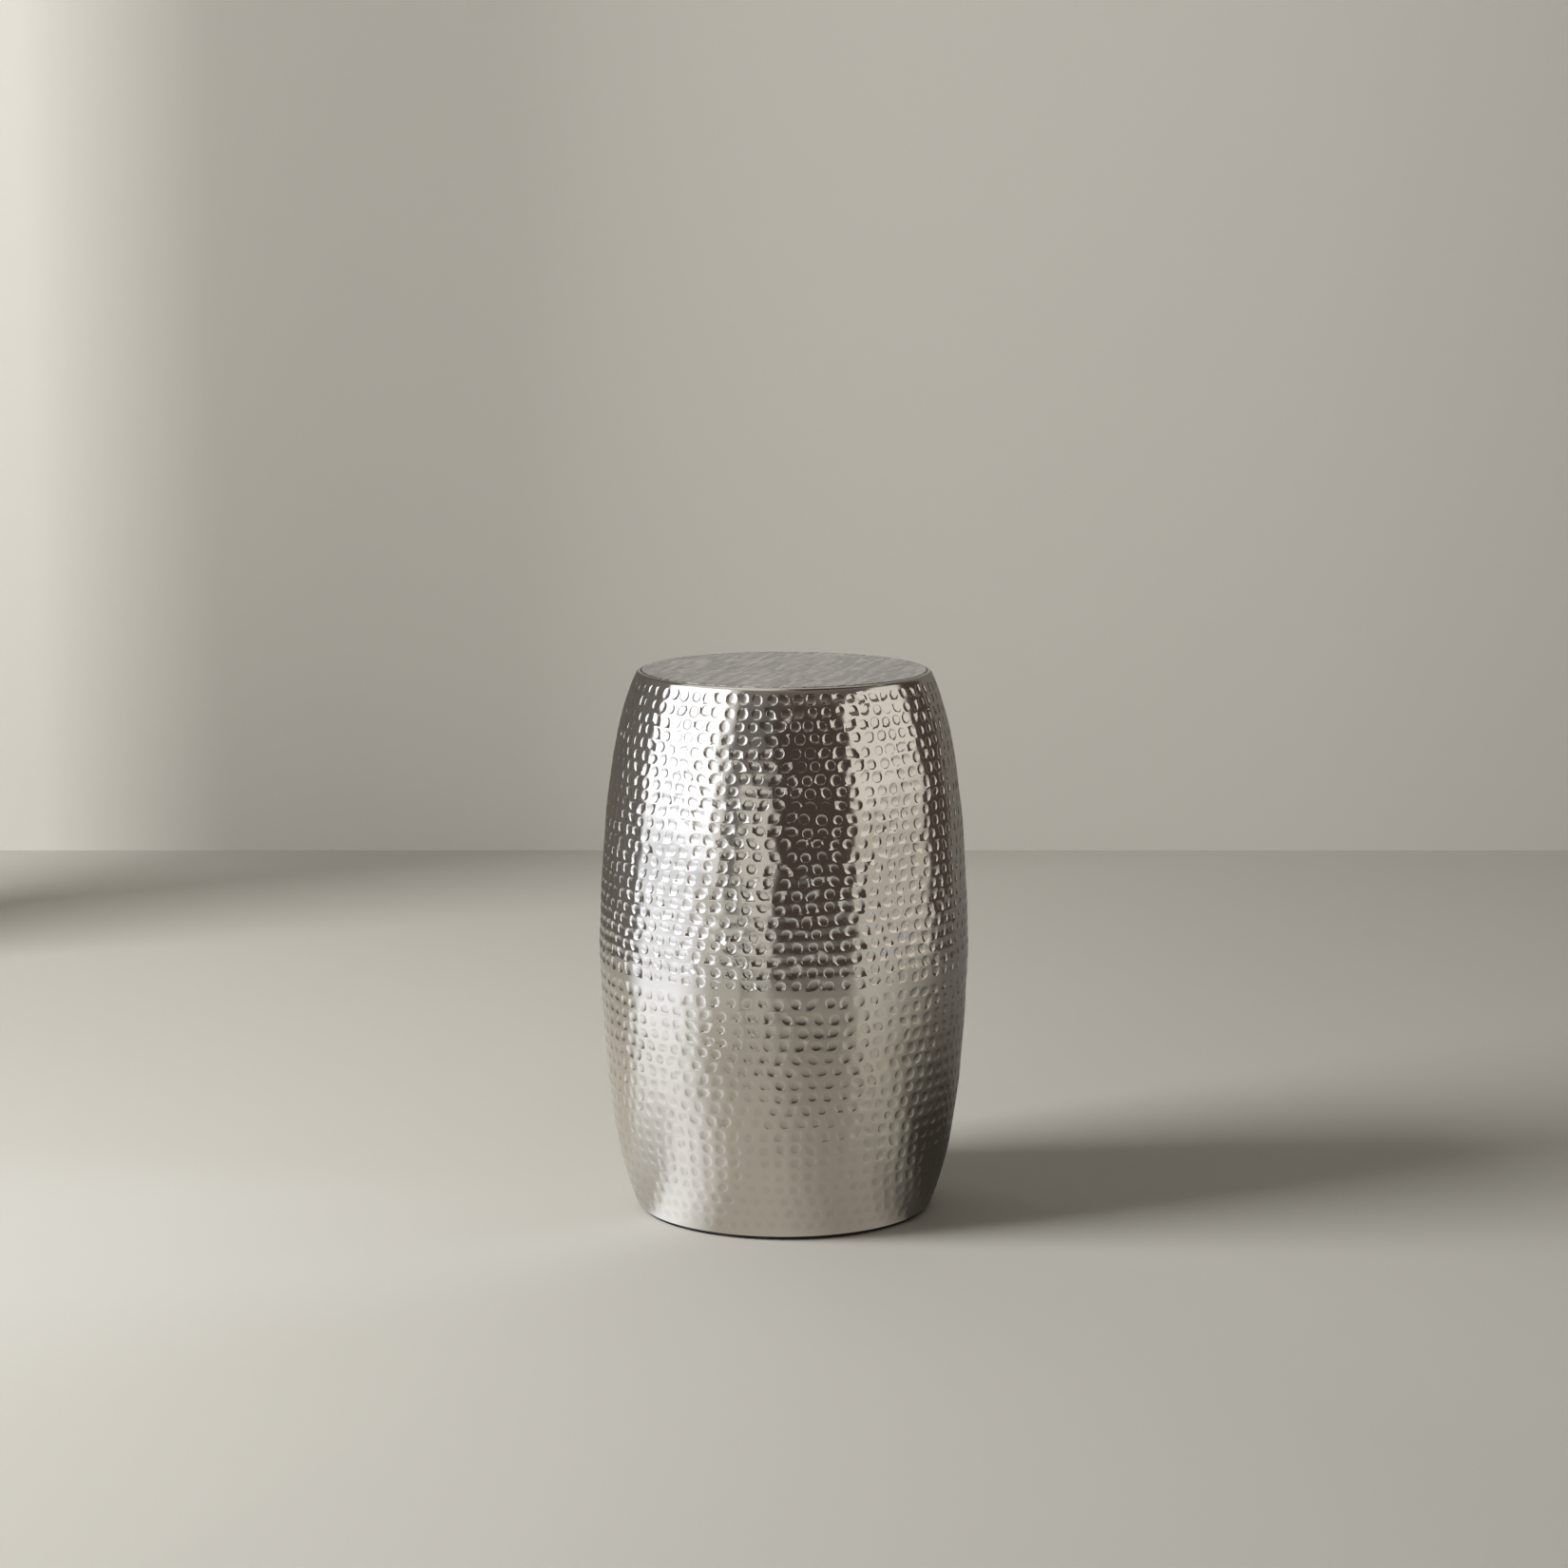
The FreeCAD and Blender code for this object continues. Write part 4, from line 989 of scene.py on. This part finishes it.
def build_stage(scene):
    """Pale floor and wall, soft light, reflection cards, surroundings and the camera."""
    studio = scene.drum_studio
    reach = ROOM_REACH
    add_plane("floor", (-reach, -reach, 0), (2 * reach, 0, 0), (0, 2 * reach, 0),
              make_material(plaster, studio.floor, name="floor_plaster"))
    add_plane("wall", (-WALL_REACH, WALL_AT, 0), (2 * WALL_REACH, 0, 0), (0, 0, WALL_TALL),
              make_material(plaster, studio.wall, name="wall_plaster"))
    add_cards(studio)
    add_surroundings(scene, studio)
    scene.view_settings.view_transform = "Standard"
    # a black flag keeps some of the key light off the wall
    flag = add_plane("flag", (-1.3, 0.84, 0.0), (0.0, 0.32, 0.0), (0.0, 0.0, 2.7),
                     make_material(plaster, [0.02] * 3, name="black_cloth"))
    flag.visible_camera = flag.visible_glossy = False

    distance, turn = 3.2, math.radians(-74)
    low, high, width = 0.40, 3.45, 1.67
    lamp = bpy.data.lights.new("key_light", "AREA")
    lamp.shape = "RECTANGLE"
    lamp.size, lamp.size_y = width, high - low
    lamp.energy = studio.key * math.pi * width * (high - low)
    light = new_object("key_light", lamp)
    light.location = (distance * math.sin(turn), -distance * math.cos(turn), (low + high) / 2)
    light.rotation_euler = (math.pi / 2, 0, turn)
    light.visible_camera = light.visible_glossy = False

    lens = bpy.data.cameras.new("camera")
    lens.sensor_width, lens.lens = 36.0, studio.camera_lens
    camera = new_object("camera", lens)
    camera.location = (0.0, -studio.camera_distance, studio.camera_height)
    camera.rotation_euler = (math.pi / 2 - studio.camera_pitch, 0.0, 0.0)
    scene.camera = camera


# -------- operators and panel
class DRUM_OT_upper_shell(bpy.types.Operator):
    """Build the hammered upper shell"""

    bl_idname = "drum.upper_shell"
    bl_label = "Upper Shell"

    def execute(self, context):
        build_upper_shell(context.scene)
        return {"FINISHED"}


class DRUM_OT_lower_shell(bpy.types.Operator):
    """Build the hammered lower shell"""

    bl_idname = "drum.lower_shell"
    bl_label = "Lower Shell"

    def execute(self, context):
        build_lower_shell(context.scene)
        return {"FINISHED"}


class DRUM_OT_seam_weld(bpy.types.Operator):
    """Build the dressed weld round the belly"""

    bl_idname = "drum.seam_weld"
    bl_label = "Seam Weld"

    def execute(self, context):
        build_seam_weld(context.scene)
        return {"FINISHED"}


class DRUM_OT_top_plate(bpy.types.Operator):
    """Build the planished top"""

    bl_idname = "drum.top_plate"
    bl_label = "Top Plate"

    def execute(self, context):
        build_top_plate(context.scene)
        return {"FINISHED"}


class DRUM_OT_inner_parts(bpy.types.Operator):
    """Finish the board, seat ring, screws and washers under the top"""

    bl_idname = "drum.inner_parts"
    bl_label = "Inner Parts"

    def execute(self, context):
        finish_node("top_board", fibreboard_raw)
        finish_node("seat_ring", steel_galvanised)
        finish_node("top_screws", steel_zinc_plated)
        finish_node("screw_washers", steel_zinc_plated)
        return {"FINISHED"}


class DRUM_OT_floor_ring(bpy.types.Operator):
    """Finish the rubber ring under the foot"""

    bl_idname = "drum.floor_ring"
    bl_label = "Floor Ring"

    def execute(self, context):
        finish_node("floor_ring", rubber_black_moulded)
        return {"FINISHED"}


class DRUM_OT_stage(bpy.types.Operator):
    """Build the floor, lights and camera"""

    bl_idname = "drum.stage"
    bl_label = "Stage"

    def execute(self, context):
        build_stage(context.scene)
        return {"FINISHED"}


GROUPS = {
    "drum_wall": DrumWallSizes,
    "drum_marks": DrumMarkSizes,
    "drum_plate": DrumPlateSizes,
    "drum_colours": DrumColours,
    "drum_studio": DrumStudioSettings,
}
OPERATORS = (DRUM_OT_upper_shell, DRUM_OT_lower_shell, DRUM_OT_seam_weld, DRUM_OT_top_plate,
             DRUM_OT_inner_parts, DRUM_OT_floor_ring, DRUM_OT_stage)


class DRUM_PT_sidebar(bpy.types.Panel):
    """Sizes, colours and pieces of the drum side table"""

    bl_idname = "DRUM_PT_sidebar"
    bl_label = "Drum Side Table"
    bl_space_type = "VIEW_3D"
    bl_region_type = "UI"
    bl_category = "Drum Table"

    def draw(self, context):
        for name, group in GROUPS.items():
            box = self.layout.box()
            for field in group.__annotations__:
                box.prop(getattr(context.scene, name), field)
        column = self.layout.column()
        for operator in OPERATORS:
            column.operator(operator.bl_idname)


CLASSES = (*GROUPS.values(), *OPERATORS, DRUM_PT_sidebar)


def register():
    """Register the classes and hang their settings on the scene."""
    for item in CLASSES:
        bpy.utils.register_class(item)
    for name, group in GROUPS.items():
        setattr(bpy.types.Scene, name, bpy.props.PointerProperty(type=group))


def unregister():
    """Take the settings and classes away again."""
    for name in GROUPS:
        delattr(bpy.types.Scene, name)
    for item in reversed(CLASSES):
        bpy.utils.unregister_class(item)


def main():
    """Build every piece and the stage."""
    register()
    for operator in OPERATORS:
        getattr(bpy.ops.drum, operator.bl_idname.removeprefix("drum."))()


if __name__ == "__main__":
    main()
